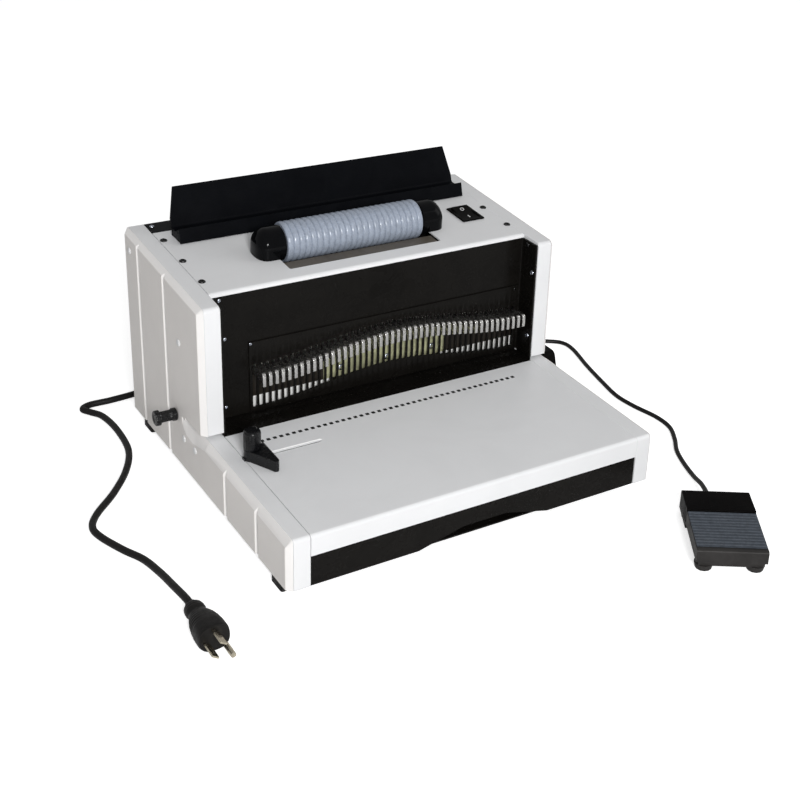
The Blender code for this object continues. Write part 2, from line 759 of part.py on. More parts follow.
def side_covers():
    """Outer side covers: chamfered outline, four V grooves, throat end, scoop and round plugs."""
    for side, name in ((-1, "left_side_cover"), (1, "right_side_cover")):
        inner = side * (HALF_WIDTH + GAP)
        outer = side * (HALF_WIDTH + COVER_THICKNESS)
        base = side_outline(EDGE)
        face = side_outline(EDGE, COVER_CHAMFER, COVER_TABLE_CHAMFER)
        rings = [[(x, *point) for point in ring] for x, ring in ((inner, base), (inner + side * EDGE, base),
                                                                 (outer, face))]
        made = loft(name, rings, SIDE_GREY, MACHINE)
        for step in GROOVE_STEPS:
            cut(made, groove_cutter(side, GROOVE_FIRST_Y + GROOVE_PITCH * step))
        cut(made, scoop_cutter(side), throat_cutter(side))
        for index in range(len(COVER_PLUG_PLACES_Y) if side < 0 else DRAWER_SIDE_PLUGS):
            place = plug_place(side, index)
            unite(made, rod("plug", COVER_PLUG_R, (place[0] - side * COVER_PLUG_DEPTH, *place[1:]),
                            place[0] + side * EDGE, "X", None, MACHINE, sides=8))
        if side > 0:
            cut(made, drawer_cutter(COVER_THICKNESS * 2))
        else:
            cut(made, rod("knob_bore", KNOB_SHAFT_R + GAP, (outer * 2 - inner, KNOB_Y, KNOB_Z), -INNER_HALF, "X",
                          None, MACHINE))


def grouped(name, pieces):
    """Put many guide shapes with one parent into one guide object."""
    build = bmesh.new()
    for piece in pieces:
        mesh = piece.data
        mesh.transform(piece.matrix_basis)
        build.from_mesh(mesh)
    parent = pieces[0].parent
    for piece in pieces:
        bpy.data.objects.remove(piece, do_unlink=True)
    return add_mesh(name, mesh_from_bmesh(name, build), None, parent)


def base_pan():
    """Bottom pan with turned-up front and rear flanges and two rails for the chip drawer."""
    front = TABLE_FRONT_Y + PLINTH_SETBACK + SHEET + GAP
    back = HEAD_BACK_Y - SHEET - GAP
    low = BASE_Z + GAP
    path = filleted([(back, low + SHEET * 6), (back, low), (front, low), (front, low + SHEET * 6)],
                    (0, SHEET * 1.5, SHEET * 1.5, 0), closed=False)
    made = plate("base_pan", ribbon(path[::-1], SHEET), -INNER_HALF + GAP, INNER_HALF - GAP, "X", DARK_STEEL,
                 MACHINE)
    cut(made, box("pan_notch_cut", (NOTCH_X - NOTCH_BOTTOM_HALF, front - SHEET * 2, low + SHEET * 1.5),
                  (NOTCH_X + NOTCH_BOTTOM_HALF, front + SHEET * 2, low + SHEET * 8), None, MACHINE))
    rails = [box("drawer_rail", (DRAWER_LEFT_X, y - DRAWER_RAIL_WIDTH / 2, low + SHEET / 2),
                 (INNER_HALF - GAP * 2, y + DRAWER_RAIL_WIDTH / 2, DRAWER_BOTTOM_Z - GAP), None, MACHINE)
             for y in (DRAWER_FRONT_Y + DRAWER_RAIL_WIDTH, DRAWER_BACK_Y - DRAWER_RAIL_WIDTH)]
    unite(made, *rails)


def table_top():
    """Sheet table top with a rounded front edge, a front flange and the edge guide's track."""
    front = TABLE_FRONT_Y
    path = filleted([(front, TABLE_FLANGE_Z), (front, TABLE_FRONT_Z), (TABLE_REAR_Y, table_z(TABLE_REAR_Y)),
                     (TABLE_REAR_Y, TABLE_BACK_Z - SHEET * 4)], (0, TABLE_CORNER_R, 0, 0), steps=5, closed=False)
    outline = ribbon(path[::-1], SHEET)
    made = plate("table_top", outline, -INNER_HALF + GAP, INNER_HALF - GAP, "X", WHITE, MACHINE)
    track = rectangle(TRACK_LEFT_X, TRACK_Y - TRACK_WIDTH / 2, TRACK_RIGHT_X, TRACK_Y + TRACK_WIDTH / 2)
    rounded = filleted(track, (TRACK_WIDTH * 0.45,) * 4)
    cut(made, plate("track_cut", rounded, TABLE_FLANGE_Z, TABLE_BACK_Z + SHEET, "Z", None, MACHINE))


def front_plinth():
    """Black front plinth with a finger recess in its lower edge."""
    left = -INNER_HALF + GAP
    right = INNER_HALF - GAP
    top = TABLE_FLANGE_Z - GAP
    low = BASE_Z
    outline = [(left, low), (NOTCH_X - NOTCH_BOTTOM_HALF, low), (NOTCH_X - NOTCH_TOP_HALF, low + NOTCH_HEIGHT),
               (NOTCH_X + NOTCH_TOP_HALF, low + NOTCH_HEIGHT), (NOTCH_X + NOTCH_BOTTOM_HALF, low), (right, low),
               (right, top), (left, top)]
    radii = (0, NOTCH_HEIGHT / 2, NOTCH_HEIGHT / 2, NOTCH_HEIGHT / 2, NOTCH_HEIGHT / 2, 0, 0, 0)
    start = TABLE_FRONT_Y + PLINTH_SETBACK
    plate("front_plinth", filleted(outline, radii), start, start + SHEET, "Y", BLACK_PAINT, MACHINE)


def rubber_feet():
    """Four rubber block feet under the side frames."""
    for side, hand in ((-1, "left"), (1, "right")):
        for y, end in ((FOOT_FRONT_Y, "front"), (FOOT_REAR_Y, "rear")):
            block = rectangle(side * FOOT_X - FOOT_HALF_X, y - FOOT_HALF_Y, side * FOOT_X + FOOT_HALF_X,
                              y + FOOT_HALF_Y)
            plate(f"foot_{end}_{hand}", filleted(block, (FOOT_CORNER_R,) * 4), 0, BASE_Z - GAP, "Z", BLACK_RUBBER,
                  MACHINE)


def top_cover():
    """White top cover with a rounded front lip, and its openings for the roller, belt and switch."""
    start = PANEL_Y / math.cos(HEAD_SLOPE)
    path = filleted([(RECESS_FRONT_S - GAP, 0), (start, 0), (start, -COVER_LIP_DROP)], (0, COVER_LIP_R, 0),
                    steps=4, closed=False)
    made = plate("top_cover", ribbon(path, SHEET), -INNER_HALF + GAP, INNER_HALF - GAP, "X", WHITE, TOP)
    roller = filleted(rectangle(OPENING_LEFT_X, OPENING_FRONT_S, OPENING_RIGHT_X, OPENING_BACK_S), (SHEET,) * 4)
    cut(made, plate("roller_opening_cut", roller, -SHEET * 3, SHEET * 3, "Z", None, TOP))
    belt_half = ROLLER_PULLEY_R + BELT_THICKNESS * 2
    belt_s = ROLLER_Y / math.cos(HEAD_SLOPE)
    cut(made, box("belt_opening_cut", (OPENING_RIGHT_X - GAP, belt_s - belt_half, -SHEET * 3),
                  (ROLLER_PULLEY_X + ROLLER_PULLEY_WIDTH, belt_s + belt_half, SHEET * 3), None, TOP))
    half_x = SWITCH_HALF_X - SWITCH_RIM + GAP
    half_s = SWITCH_HALF_S - SWITCH_RIM + GAP
    cut(made, box("switch_opening_cut", (SWITCH_X - half_x, SWITCH_S - half_s, -SHEET * 3),
                  (SWITCH_X + half_x, SWITCH_S + half_s, SHEET * 3), None, TOP))
    screws = [screw_head(TOP_SCREW_R, TOP_SCREW_HEAD, (side * TOP_SCREW_X, s, 0), "Z", 1, TOP)
              for side in (-1, 1) for s in TOP_SCREW_PLACES_S]
    unite(made, grouped("top_screw_heads", screws))


def rear_cover():
    """Black rear cover, folded forward over the top behind the coil tray."""
    back = HEAD_BACK_Y
    front = RECESS_FRONT_S * math.cos(HEAD_SLOPE)
    path = filleted([(back, REAR_BOTTOM_Z), (back, HEAD_BACK_Z), (front, head_z(front))],
                    (0, BACK_CORNER_R, 0), steps=3, closed=False)
    made = plate("rear_cover", ribbon(path, SHEET), -INNER_HALF + GAP, INNER_HALF - GAP, "X", BLACK_PAINT, MACHINE)
    for x, z, radius in ((GROMMET_X, GROMMET_Z, GROMMET_R), (PEDAL_GROMMET_X, PEDAL_GROMMET_Z, PEDAL_GROMMET_R)):
        cut(made, rod("grommet_cut", radius * 0.75 + GAP, (x, back - SHEET * 3, z), back + SHEET, "Y", None,
                      MACHINE))
    screws = [screw_head(REAR_SCREW_R, TOP_SCREW_HEAD, (side * REAR_SCREW_X, REAR_SCREW_S, 0), "Z", 1, TOP)
              for side in (-1, 1)]
    unite(made, grouped("rear_screw_heads", screws))


def front_panel():
    """Recessed black panel, folded forward at both sides, with a window behind the slot guard."""
    left = -INNER_HALF + GAP
    right = INNER_HALF - GAP
    back = PANEL_Y + SHEET
    path = [(right, PANEL_RETURN_Y), (right, back), (left, back), (left, PANEL_RETURN_Y)]
    folded = filleted(path, (0, SHEET * 1.5, SHEET * 1.5, 0), closed=False)
    top = head_z(PANEL_Y) - COVER_LIP_DROP - GAP
    made = plate("front_panel", ribbon(folded, SHEET), PANEL_BOTTOM_Z, top, "Z", BLACK_PAINT, MACHINE)
    window = rectangle(GUARD_LEFT_X + WINDOW_SIDE_MARGIN, GUARD_BOTTOM_Z + WINDOW_SIDE_MARGIN,
                       GUARD_RIGHT_X - WINDOW_SIDE_MARGIN, GUARD_TOP_Z - WINDOW_TOP_MARGIN)
    cut(made, plate("window_cut", window, PANEL_Y - SHEET * 3, PANEL_Y + SHEET * 4, "Y", None, MACHINE))
    screws = []
    face_x = (GUARD_LEFT_X - INNER_HALF) / 2
    for z in PANEL_SCREW_PLACES_Z:
        screws.append(screw_head(PANEL_SCREW_R, TOP_SCREW_HEAD, (face_x, PANEL_Y, z), "Y", -1, MACHINE))
    for side in (-1, 1):
        for y, z in zip(RETURN_SCREW_PLACES_Y, RETURN_SCREW_PLACES_Z):
            screws.append(screw_head(PANEL_SCREW_R, TOP_SCREW_HEAD, (side * (right - SHEET), y, z), "X", -side, MACHINE))
    unite(made, grouped("panel_screw_heads", screws))


def slot_guard():
    """Guard plate with 46 upright slots whose row rises in an arch."""
    outline = rectangle(GUARD_LEFT_X, GUARD_BOTTOM_Z, GUARD_RIGHT_X, GUARD_TOP_Z)
    slots = []
    for x in slot_places():
        low = SLOT_BOTTOM_Z + arch(x)
        half = SLOT_WIDTH / 2
        slots.append(rectangle(x - half, low, x + half, low + SLOT_HEIGHT))
    front = PANEL_Y - GAP - GUARD_THICKNESS
    made = plate("slot_guard", outline, front, front + GUARD_THICKNESS, "Y", BLACK_PAINT, MACHINE, holes=slots)
    inset = PANEL_SCREW_R * 1.4
    screws = [screw_head(PANEL_SCREW_R * 0.9, TOP_SCREW_HEAD, (x, front, GUARD_TOP_Z - inset), "Y", -1, MACHINE)
              for x in (GUARD_LEFT_X + inset, GUARD_RIGHT_X - inset)]
    unite(made, grouped("guard_screw_heads", screws))


def screw_head(radius, head, place, axis, direction, parent):
    """Guide shape of one screw head, rooted in the face that it holds."""
    start = Vector(place)
    index = "XYZ".index(axis)
    start[index] -= direction * EDGE
    return rod("screw_head", radius, start, place[index] + direction * head, axis, None, parent, sides=8,
               end_radius=radius * 0.72)


# Coil tray

def coil_tray():
    """Coil tray: front lip, trough and tall back plate with tapered ends, folded from one sheet."""
    base = GAP + TRAY_WALL * TRAY_LIP_LEAN / TRAY_LIP_HEIGHT
    path = [(TRAY_PLATE_TOP_S, TRAY_PLATE_TOP), (TRAY_PLATE_FOOT_S, TRAY_FLOOR_HEIGHT),
            (TRAY_FLOOR_FRONT_S, TRAY_FLOOR_HEIGHT), (TRAY_FRONT_S + TRAY_LIP_LEAN, TRAY_LIP_HEIGHT),
            (TRAY_FRONT_S, base)]
    radii = (0, TRAY_WALL * 1.5, TRAY_WALL * 1.5, 0, 0)
    outline = ribbon(filleted(path, radii, closed=False), TRAY_WALL)
    made = plate("coil_tray", outline, TRAY_LEFT_X, TRAY_RIGHT_X, "X", BLACK_PAINT, TOP)
    leg = plate("tray_leg", rectangle(TRAY_PLATE_FOOT_S - TRAY_WALL, GAP, TRAY_PLATE_FOOT_S,
                                      TRAY_FLOOR_HEIGHT - TRAY_WALL / 4),
                TRAY_LEFT_X, TRAY_RIGHT_X, "X", None, TOP)
    unite(made, leg)
    for side, edge in ((-1, TRAY_LEFT_X), (1, TRAY_RIGHT_X)):
        inner = edge - side * TRAY_END_TAPER
        outer = edge + side * TRAY_END_TAPER
        wedge = [(edge + side * GAP, TRAY_LIP_HEIGHT), (outer, TRAY_LIP_HEIGHT), (outer, TRAY_PLATE_TOP * 1.2),
                 (inner, TRAY_PLATE_TOP * 1.02)]
        cut(made, plate("taper_cut", wedge, TRAY_PLATE_FOOT_S - TRAY_WALL, TRAY_PLATE_TOP_S + TRAY_WALL * 4, "Y",
                        None, TOP))


# Inserter roller

def roller_trough():
    """Metal trough under the roller: a round channel with a wing to each edge of the opening."""
    under = -SHEET - GAP
    front = (OPENING_FRONT_S - SHEET * 2) * math.cos(HEAD_SLOPE)
    back = (OPENING_BACK_S + SHEET * 2) * math.cos(HEAD_SLOPE)
    channel = arc(ROLLER_Y, ROLLER_Z, TROUGH_RADIUS, math.radians(212), math.radians(335), 8)
    path = [(front, head_z(front) + under), *channel, (back, head_z(back) + under)]
    plate("roller_trough", ribbon(path[::-1], SHEET), OPENING_LEFT_X + GAP, OPENING_RIGHT_X - SHEET, "X",
          TROUGH_METAL, MACHINE)


def roller_sleeve():
    """Ribbed rubber sleeve, one turned solid with its bore."""
    length = ROLLER_RIGHT_X - ROLLER_LEFT_X
    pitch = length / RIB_COUNT
    profile = [(ROLLER_RADIUS - RIB_DEPTH, length)]
    for i in range(RIB_COUNT):
        top = length - pitch * i
        profile.append((ROLLER_RADIUS, top - pitch / 2))
        if i < RIB_COUNT - 1:
            profile.append((ROLLER_RADIUS - RIB_DEPTH, top - pitch))
    profile.append((ROLLER_RADIUS - RIB_DEPTH, 0))
    profile.append((SLEEVE_INNER_R, 0))
    profile.append((SLEEVE_INNER_R, length))
    turned("roller_sleeve", profile, "X", (ROLLER_LEFT_X, ROLLER_Y, ROLLER_Z), ROLLER_RUBBER, MACHINE,
           sides=ROLLER_SIDES, closed=True)


def roller_core():
    """Roller core with its shaft ends and the driven pulley, turned in one piece."""
    left = -CAP_DOME_X
    right = ROLLER_PULLEY_X + ROLLER_PULLEY_WIDTH / 2
    pulley = ROLLER_PULLEY_X - ROLLER_PULLEY_WIDTH / 2
    profile = [(0, right), (ROLLER_PULLEY_R, right), (ROLLER_PULLEY_R, pulley), (ROLLER_SHAFT_R, pulley),
               (ROLLER_SHAFT_R, ROLLER_RIGHT_X), (CORE_RADIUS, ROLLER_RIGHT_X), (CORE_RADIUS, ROLLER_LEFT_X),
               (ROLLER_SHAFT_R, ROLLER_LEFT_X), (ROLLER_SHAFT_R, left), (0, left)]
    turned("roller_core", profile, "X", (0, ROLLER_Y, ROLLER_Z), DARK_STEEL, MACHINE, sides=ROLLER_SIDES)


def roller_caps():
    """Domed bearing caps on feet that follow the slope of the top cover; the right one hides the belt."""
    for side, name in ((-1, "left_roller_cap"), (1, "right_roller_cap")):
        dome = CAP_END_X - CAP_DOME_X
        profile = [(CAP_RADIUS * math.cos(a), CAP_DOME_X + dome * math.sin(a))
                   for a in (math.radians(90 - 22.5 * k) for k in range(5))]
        profile[0] = (0, CAP_END_X)
        profile += [(CAP_RADIUS, CAP_START_X), (0, CAP_START_X)]
        if side < 0:
            profile = [(radius, -along) for radius, along in profile][::-1]
        made = turned(name, profile, "X", (0, ROLLER_Y, ROLLER_Z), BLACK_PLASTIC, MACHINE, sides=20)
        opening = OPENING_RIGHT_X if side > 0 else -OPENING_LEFT_X
        near, far = sorted((side * (OPENING_RIGHT_X + SHEET), side * CAP_FOOT_X))
        foot = plate("cap_foot", filleted(rectangle(near, ROLLER_Y - CAP_FOOT_HALF, far, ROLLER_Y + CAP_FOOT_HALF),
                                          (SHEET,) * 4), head_z(0), ROLLER_Z, "Z", None, MACHINE)
        unite(made, foot)
        reach = sorted((side * (opening - GAP), side * CAP_END_X * 1.2))
        slice_outline = rectangle(reach[0], ROLLER_Y - CAP_RADIUS * 2, reach[1], ROLLER_Y + CAP_RADIUS * 2)
        cut(made, plate("cap_slope_cut", slice_outline, -CAP_RADIUS, GAP, "Z", None, TOP))
        bore_end = CAP_START_X + BUSH_LENGTH + GAP * 3
        cut(made, rod("bush_bore", BUSH_RADIUS + GAP, (side * (CAP_START_X - SHEET), ROLLER_Y, ROLLER_Z),
                      side * bore_end, "X", None, MACHINE))
        shaft_end = CAP_DOME_X + RUN_GAP
        cut(made, rod("shaft_bore", ROLLER_SHAFT_R + RUN_GAP, (side * CAP_START_X, ROLLER_Y, ROLLER_Z),
                      side * shaft_end, "X", None, MACHINE))
        if side > 0:
            start = ROLLER_PULLEY_X - ROLLER_PULLEY_WIDTH / 2 - SHEET / 2
            end = ROLLER_PULLEY_X + ROLLER_PULLEY_WIDTH / 2 + SHEET / 2
            cut(made, rod("cap_cavity", CAP_CAVITY_R, (start, ROLLER_Y, ROLLER_Z), end, "X", None, MACHINE))
            cut(made, box("cap_belt_way", (start, ROLLER_Y - CAP_CAVITY_R, head_z(0) - CAP_RADIUS),
                          (end, ROLLER_Y + CAP_CAVITY_R, ROLLER_Z), None, MACHINE))


def roller_bushes():
    """Plain bushes in the caps that carry the roller's shaft."""
    for side, name in ((-1, "left_roller_bush"), (1, "right_roller_bush")):
        start = side * (CAP_START_X + GAP)
        near, far = sorted((start, start + side * BUSH_LENGTH))
        plate(name, circle(ROLLER_Y, ROLLER_Z, BUSH_RADIUS, 12), near, far, "X", BRONZE, MACHINE,
              holes=[circle(ROLLER_Y, ROLLER_Z, ROLLER_SHAFT_R + RUN_GAP, 12)])


def pulley_profile(radius, width, bore):
    """Closed profile of a flanged pulley with a bore, top end first."""
    rim = radius + PULLEY_RIM
    lip = width / 8
    return [(rim, width), (rim, width - lip), (radius, width - lip), (radius, lip), (rim, lip), (rim, 0), (bore, 0),
            (bore, width)]


def inserter_drive():
    """Small motor under the trough, its pulley, and the belt up to the roller's pulley."""
    place = (INSERTER_MOTOR_LEFT_X, ROLLER_Y, INSERTER_MOTOR_Z)
    motor = rod("inserter_motor", INSERTER_MOTOR_R, place, INSERTER_MOTOR_RIGHT_X, "X", DARK_STEEL, MACHINE, sides=20)
    half = INSERTER_BRACKET / 2
    middle = (INSERTER_MOTOR_LEFT_X + INSERTER_MOTOR_RIGHT_X) / 2
    top = ROLLER_Z - TROUGH_RADIUS - SHEET - GAP
    unite(motor, box("motor_bracket", (middle - half, ROLLER_Y - half, INSERTER_MOTOR_Z),
                     (middle + half, ROLLER_Y + half, top), None, MACHINE))
    start = INSERTER_MOTOR_RIGHT_X + GAP
    end = ROLLER_PULLEY_X + ROLLER_PULLEY_WIDTH / 2
    rod("inserter_pulley", ROLLER_PULLEY_R, (start, ROLLER_Y, INSERTER_MOTOR_Z), end, "X", DARK_STEEL, MACHINE)
    inner_r = ROLLER_PULLEY_R + GAP
    inside = belt_loop((ROLLER_Y, ROLLER_Z), inner_r, (ROLLER_Y, INSERTER_MOTOR_Z), inner_r)
    outside = belt_loop((ROLLER_Y, ROLLER_Z), inner_r + BELT_THICKNESS, (ROLLER_Y, INSERTER_MOTOR_Z),
                        inner_r + BELT_THICKNESS)
    half_width = ROLLER_PULLEY_WIDTH / 2 - GAP
    plate("inserter_belt", outside, ROLLER_PULLEY_X - half_width, ROLLER_PULLEY_X + half_width, "X", BLACK_RUBBER,
          MACHINE, holes=[inside])


# Power switch

def power_switch():
    """Switch bezel with its housing through the cover, and the rocker that tilts in it."""
    low = (SWITCH_X - SWITCH_HALF_X, SWITCH_S - SWITCH_HALF_S, GAP)
    high = (SWITCH_X + SWITCH_HALF_X, SWITCH_S + SWITCH_HALF_S, GAP + SWITCH_FLANGE)
    bezel = box("switch_bezel", low, high, BLACK_PLASTIC, TOP)
    bevel(bezel, SWITCH_FLANGE / 3)
    inset = SWITCH_RIM
    unite(bezel, box("switch_housing", (low[0] + inset, low[1] + inset, -SWITCH_DEPTH),
                     (high[0] - inset, high[1] - inset, SWITCH_FLANGE / 2), None, TOP))
    well = SWITCH_RIM * 1.9
    cut(bezel, box("switch_well", (low[0] + well, low[1] + well, -SWITCH_WELL),
                   (high[0] - well, high[1] - well, SWITCH_FLANGE * 2), None, TOP))
    half_x = SWITCH_HALF_X - well - GAP
    half_s = SWITCH_HALF_S - well - RUN_GAP * 1.5
    outline = [(-half_s, -ROCKER_DEPTH), (half_s, -ROCKER_DEPTH), (half_s, ROCKER_END - ROCKER_CENTRE),
               (0, ROCKER_CENTRE), (-half_s, ROCKER_END - ROCKER_CENTRE)]
    pivot = frame_empty("rocker_pivot", TOP, (SWITCH_X, SWITCH_S, 0), (ROCKER_TILT, 0, 0))
    rocker = plate("power_rocker", outline, -half_x, half_x, "X", BLACK_PLASTIC, pivot)
    bevel(rocker, GAP * 1.5)


# Punch

def hole_row(radius, sides):
    """Round holes for the punch pins, as outlines in x and y."""
    return [circle(x, PIN_Y, radius, sides, math.pi / sides) for x in slot_places()]


def lower_die():
    """Die plate flush with the table, with its row of holes."""
    top = TABLE_BACK_Z - DIE_TOP_GAP
    outline = rectangle(-INNER_HALF + GAP, TABLE_REAR_Y + GAP, INNER_HALF - GAP, GUIDE_BACK_Y)
    plate("lower_die", outline, top - DIE_HEIGHT, top, "Z", STEEL, MACHINE, holes=hole_row(PIN_RADIUS + GAP, 6))


def upper_guide():
    """Punch guide over the throat, with a bright front lip and rear feet down to the die."""
    outline = [(GUIDE_FRONT_Y, PANEL_BOTTOM_Z), (GUIDE_BACK_Y, PANEL_BOTTOM_Z), (GUIDE_BACK_Y, GUIDE_TOP_Z),
               (GUIDE_FRONT_Y + GUIDE_LIP_THICKNESS, GUIDE_TOP_Z), (GUIDE_FRONT_Y + GUIDE_LIP_THICKNESS, GUIDE_LIP_Z),
               (GUIDE_FRONT_Y, GUIDE_LIP_Z)]
    made = plate("upper_guide", outline, -GUIDE_HALF, GUIDE_HALF, "X", STEEL, MACHINE)
    guide_low = PANEL_BOTTOM_Z - SHEET
    guide_high = GUIDE_TOP_Z + SHEET
    pins = [rod("pin_hole", PIN_RADIUS + GAP, (x, PIN_Y, guide_low), guide_high, "Z", None, MACHINE,
                sides=PIN_SIDES) for x in slot_places()]
    cut(made, grouped("pin_holes_cut", pins))
    reach = RETAINER_SCREW_PITCH + RETAINER_SCREW_R * 3
    cut(made, box("lip_gap_cut", (SLOT_MID_X - reach, GUIDE_FRONT_Y - SHEET, GUIDE_TOP_Z),
                  (SLOT_MID_X + reach, GUIDE_FRONT_Y + GUIDE_LIP_THICKNESS + SHEET, GUIDE_LIP_Z + SHEET), None,
                  MACHINE))
    unite(made, box("guide_foot", (-GUIDE_HALF, GUIDE_BACK_Y - SHEET * 4, TABLE_BACK_Z + GAP - DIE_TOP_GAP),
                    (GUIDE_HALF, GUIDE_BACK_Y, PANEL_BOTTOM_Z + SHEET), None, MACHINE))
    posts = [rod("guide_post", POST_RADIUS, (x, POST_Y, GUIDE_TOP_Z - SHEET), POST_TOP_Z, "Z", None, MACHINE)
             for x in post_places()]
    unite(made, grouped("guide_posts", posts))


def ram_span():
    """Left and right ends of the ram, outside the first and last pin."""
    return SLOT_FIRST_X - RAM_END_MARGIN, slot_places()[-1] + PIN_RADIUS * 3


def post_places():
    """X of the two guide posts."""
    left, right = ram_span()
    return left + POST_INSET, right - POST_INSET


def punch_ram():
    """Ram bar with its 46 pins and the pull tabs of the middle ones, bored for the guide posts."""
    left, right = ram_span()
    outline = [(PIN_Y - PIN_RADIUS - GAP, RAM_BOTTOM_Z), (POST_Y + POST_RADIUS * 2.2, RAM_BOTTOM_Z),
               (POST_Y + POST_RADIUS * 2.2, RAM_TOP_Z - SHEET * 5), (RAM_BACK_Y, RAM_TOP_Z - SHEET * 5),
               (RAM_BACK_Y, RAM_TOP_Z), (PIN_Y - PIN_RADIUS - GAP, RAM_TOP_Z)]
    made = plate("punch_ram", outline, left, right, "X", DARK_STEEL, MACHINE)
    for x in post_places():
        cut(made, rod("post_bore", POST_RADIUS + GAP, (x, POST_Y, RAM_BOTTOM_Z - SHEET), RAM_TOP_Z + SHEET, "Z", None,
                      MACHINE))
    places = slot_places()
    pins = [rod("pin", PIN_RADIUS, (x, PIN_Y, PIN_BOTTOM_Z), RAM_BOTTOM_Z + SHEET, "Z", None, MACHINE,
                sides=PIN_SIDES) for x in places]
    unite(made, grouped("punch_pins", pins))
    tabs = [pull_tab("tab", x, None, PIN_Y + EDGE) for x in places[1:-1]]
    unite(made, grouped("middle_tabs", tabs))


def retainer_plate():
    """Zinc plated retainer in front of the ram, with an arched top edge under the tabs."""
    left, right = ram_span()
    low = RETAINER_BOTTOM_Z
    count = 16
    crest = [right + (left - right) * k / count for k in range(count + 1)]
    outline = [(left, low), (right, low)] + [(x, TAB_BOTTOM_Z - GAP + arch(x)) for x in crest]
    back = RETAINER_FRONT_Y + RETAINER_THICKNESS
    made = plate("retainer_plate", outline, RETAINER_FRONT_Y, back, "Y", ZINC, MACHINE)
    spacer_end = PIN_Y - PIN_RADIUS - GAP * 2
    for k in (-1, 0, 1):
        x = SLOT_MID_X + RETAINER_SCREW_PITCH * k
        spacer = rod("spacer", RETAINER_SCREW_R * 0.8, (x, back - RETAINER_THICKNESS / 2, RETAINER_SCREW_Z),
                     spacer_end, "Y", None, MACHINE, sides=10)
        unite(made, spacer)
        unite(made, screw_head(RETAINER_SCREW_R, RETAINER_SCREW_HEAD, (x, RETAINER_FRONT_Y, RETAINER_SCREW_Z), "Y", -1,
                               MACHINE))


def pull_tab(name, x, finish, rear=PIN_Y - PIN_RADIUS - GAP * 2):
    """One pull tab: a tall head in front of the guard and a lower shank back to the ram."""
    low = TAB_BOTTOM_Z + arch(x)
    high = low + TAB_HEIGHT
    head = TAB_FRONT_Y + TAB_HEAD_LENGTH
    drop = TAB_SHANK_DROP
    outline = [(TAB_FRONT_Y, low), (rear, low), (rear, high - drop), (head, high - drop), (head - drop, high),
               (TAB_FRONT_Y + drop / 2, high), (TAB_FRONT_Y, high - drop / 2)]
    return plate(name, outline, x - TAB_WIDTH / 2, x + TAB_WIDTH / 2, "X", finish, MACHINE)


def end_tabs():
    """Pull tabs of the first and last pins, which slide out to leave those holes unpunched."""
    places = slot_places()
    pull_tab("pull_tab_first", places[0], STEEL)
    pull_tab("pull_tab_last", places[-1], STEEL)


def cam_outline():
    """Heart cam: its radius grows evenly over half a turn and falls back over the other half."""
    points = []
    count = 28
    for k in range(count):
        turn = 2 * math.pi * k / count
        share = 1 - abs(1 - turn / math.pi)
        radius = CAM_BASE_R + PUNCH_STROKE * share
        angle = turn - math.pi / 2
        points.append((CAM_Y + radius * math.cos(angle), CAM_Z + radius * math.sin(angle)))
    return points


def cam_drive():
    """Cam shaft with its pulley, two heart cams, bearings, gear motor, pulley and belt."""
    bearing_inner = INNER_HALF - GAP - BEARING_WIDTH
    profile = [(0, bearing_inner + BEARING_WIDTH - GAP), (CAM_SHAFT_R, bearing_inner + BEARING_WIDTH - GAP),
               (CAM_SHAFT_R, CAM_PULLEY_X + PULLEY_WIDTH), (CAM_PULLEY_R + PULLEY_RIM, CAM_PULLEY_X + PULLEY_WIDTH),
               (CAM_PULLEY_R + PULLEY_RIM, CAM_PULLEY_X + PULLEY_WIDTH * 0.88),
               (CAM_PULLEY_R, CAM_PULLEY_X + PULLEY_WIDTH * 0.88), (CAM_PULLEY_R, CAM_PULLEY_X + PULLEY_WIDTH * 0.12),
               (CAM_PULLEY_R + PULLEY_RIM, CAM_PULLEY_X + PULLEY_WIDTH * 0.12),
               (CAM_PULLEY_R + PULLEY_RIM, CAM_PULLEY_X), (CAM_SHAFT_R, CAM_PULLEY_X),
               (CAM_SHAFT_R, -bearing_inner - BEARING_WIDTH + GAP), (0, -bearing_inner - BEARING_WIDTH + GAP)]
    turned("cam_shaft", profile, "X", (0, CAM_Y, CAM_Z), STEEL, MACHINE, sides=CAM_SHAFT_SIDES)
    bore = [circle(CAM_Y, CAM_Z, CAM_SHAFT_R + GAP, CAM_SHAFT_SIDES)]
    block = filleted(rectangle(CAM_Y - BEARING_HALF, CAM_Z - BEARING_HALF, CAM_Y + BEARING_HALF,
                               CAM_Z + BEARING_HALF), (SHEET,) * 4)
    for side, hand in ((-1, "left"), (1, "right")):
        x = side * CAM_X
        plate(f"{hand}_punch_cam", cam_outline(), x - CAM_WIDTH / 2, x + CAM_WIDTH / 2, "X", DARK_STEEL, MACHINE,
              holes=bore)
        start, end = sorted((side * bearing_inner, side * (INNER_HALF - GAP)))
        plate(f"{hand}_cam_bearing", block, start, end, "X", DARK_STEEL, MACHINE, holes=bore)
    gear_motor()


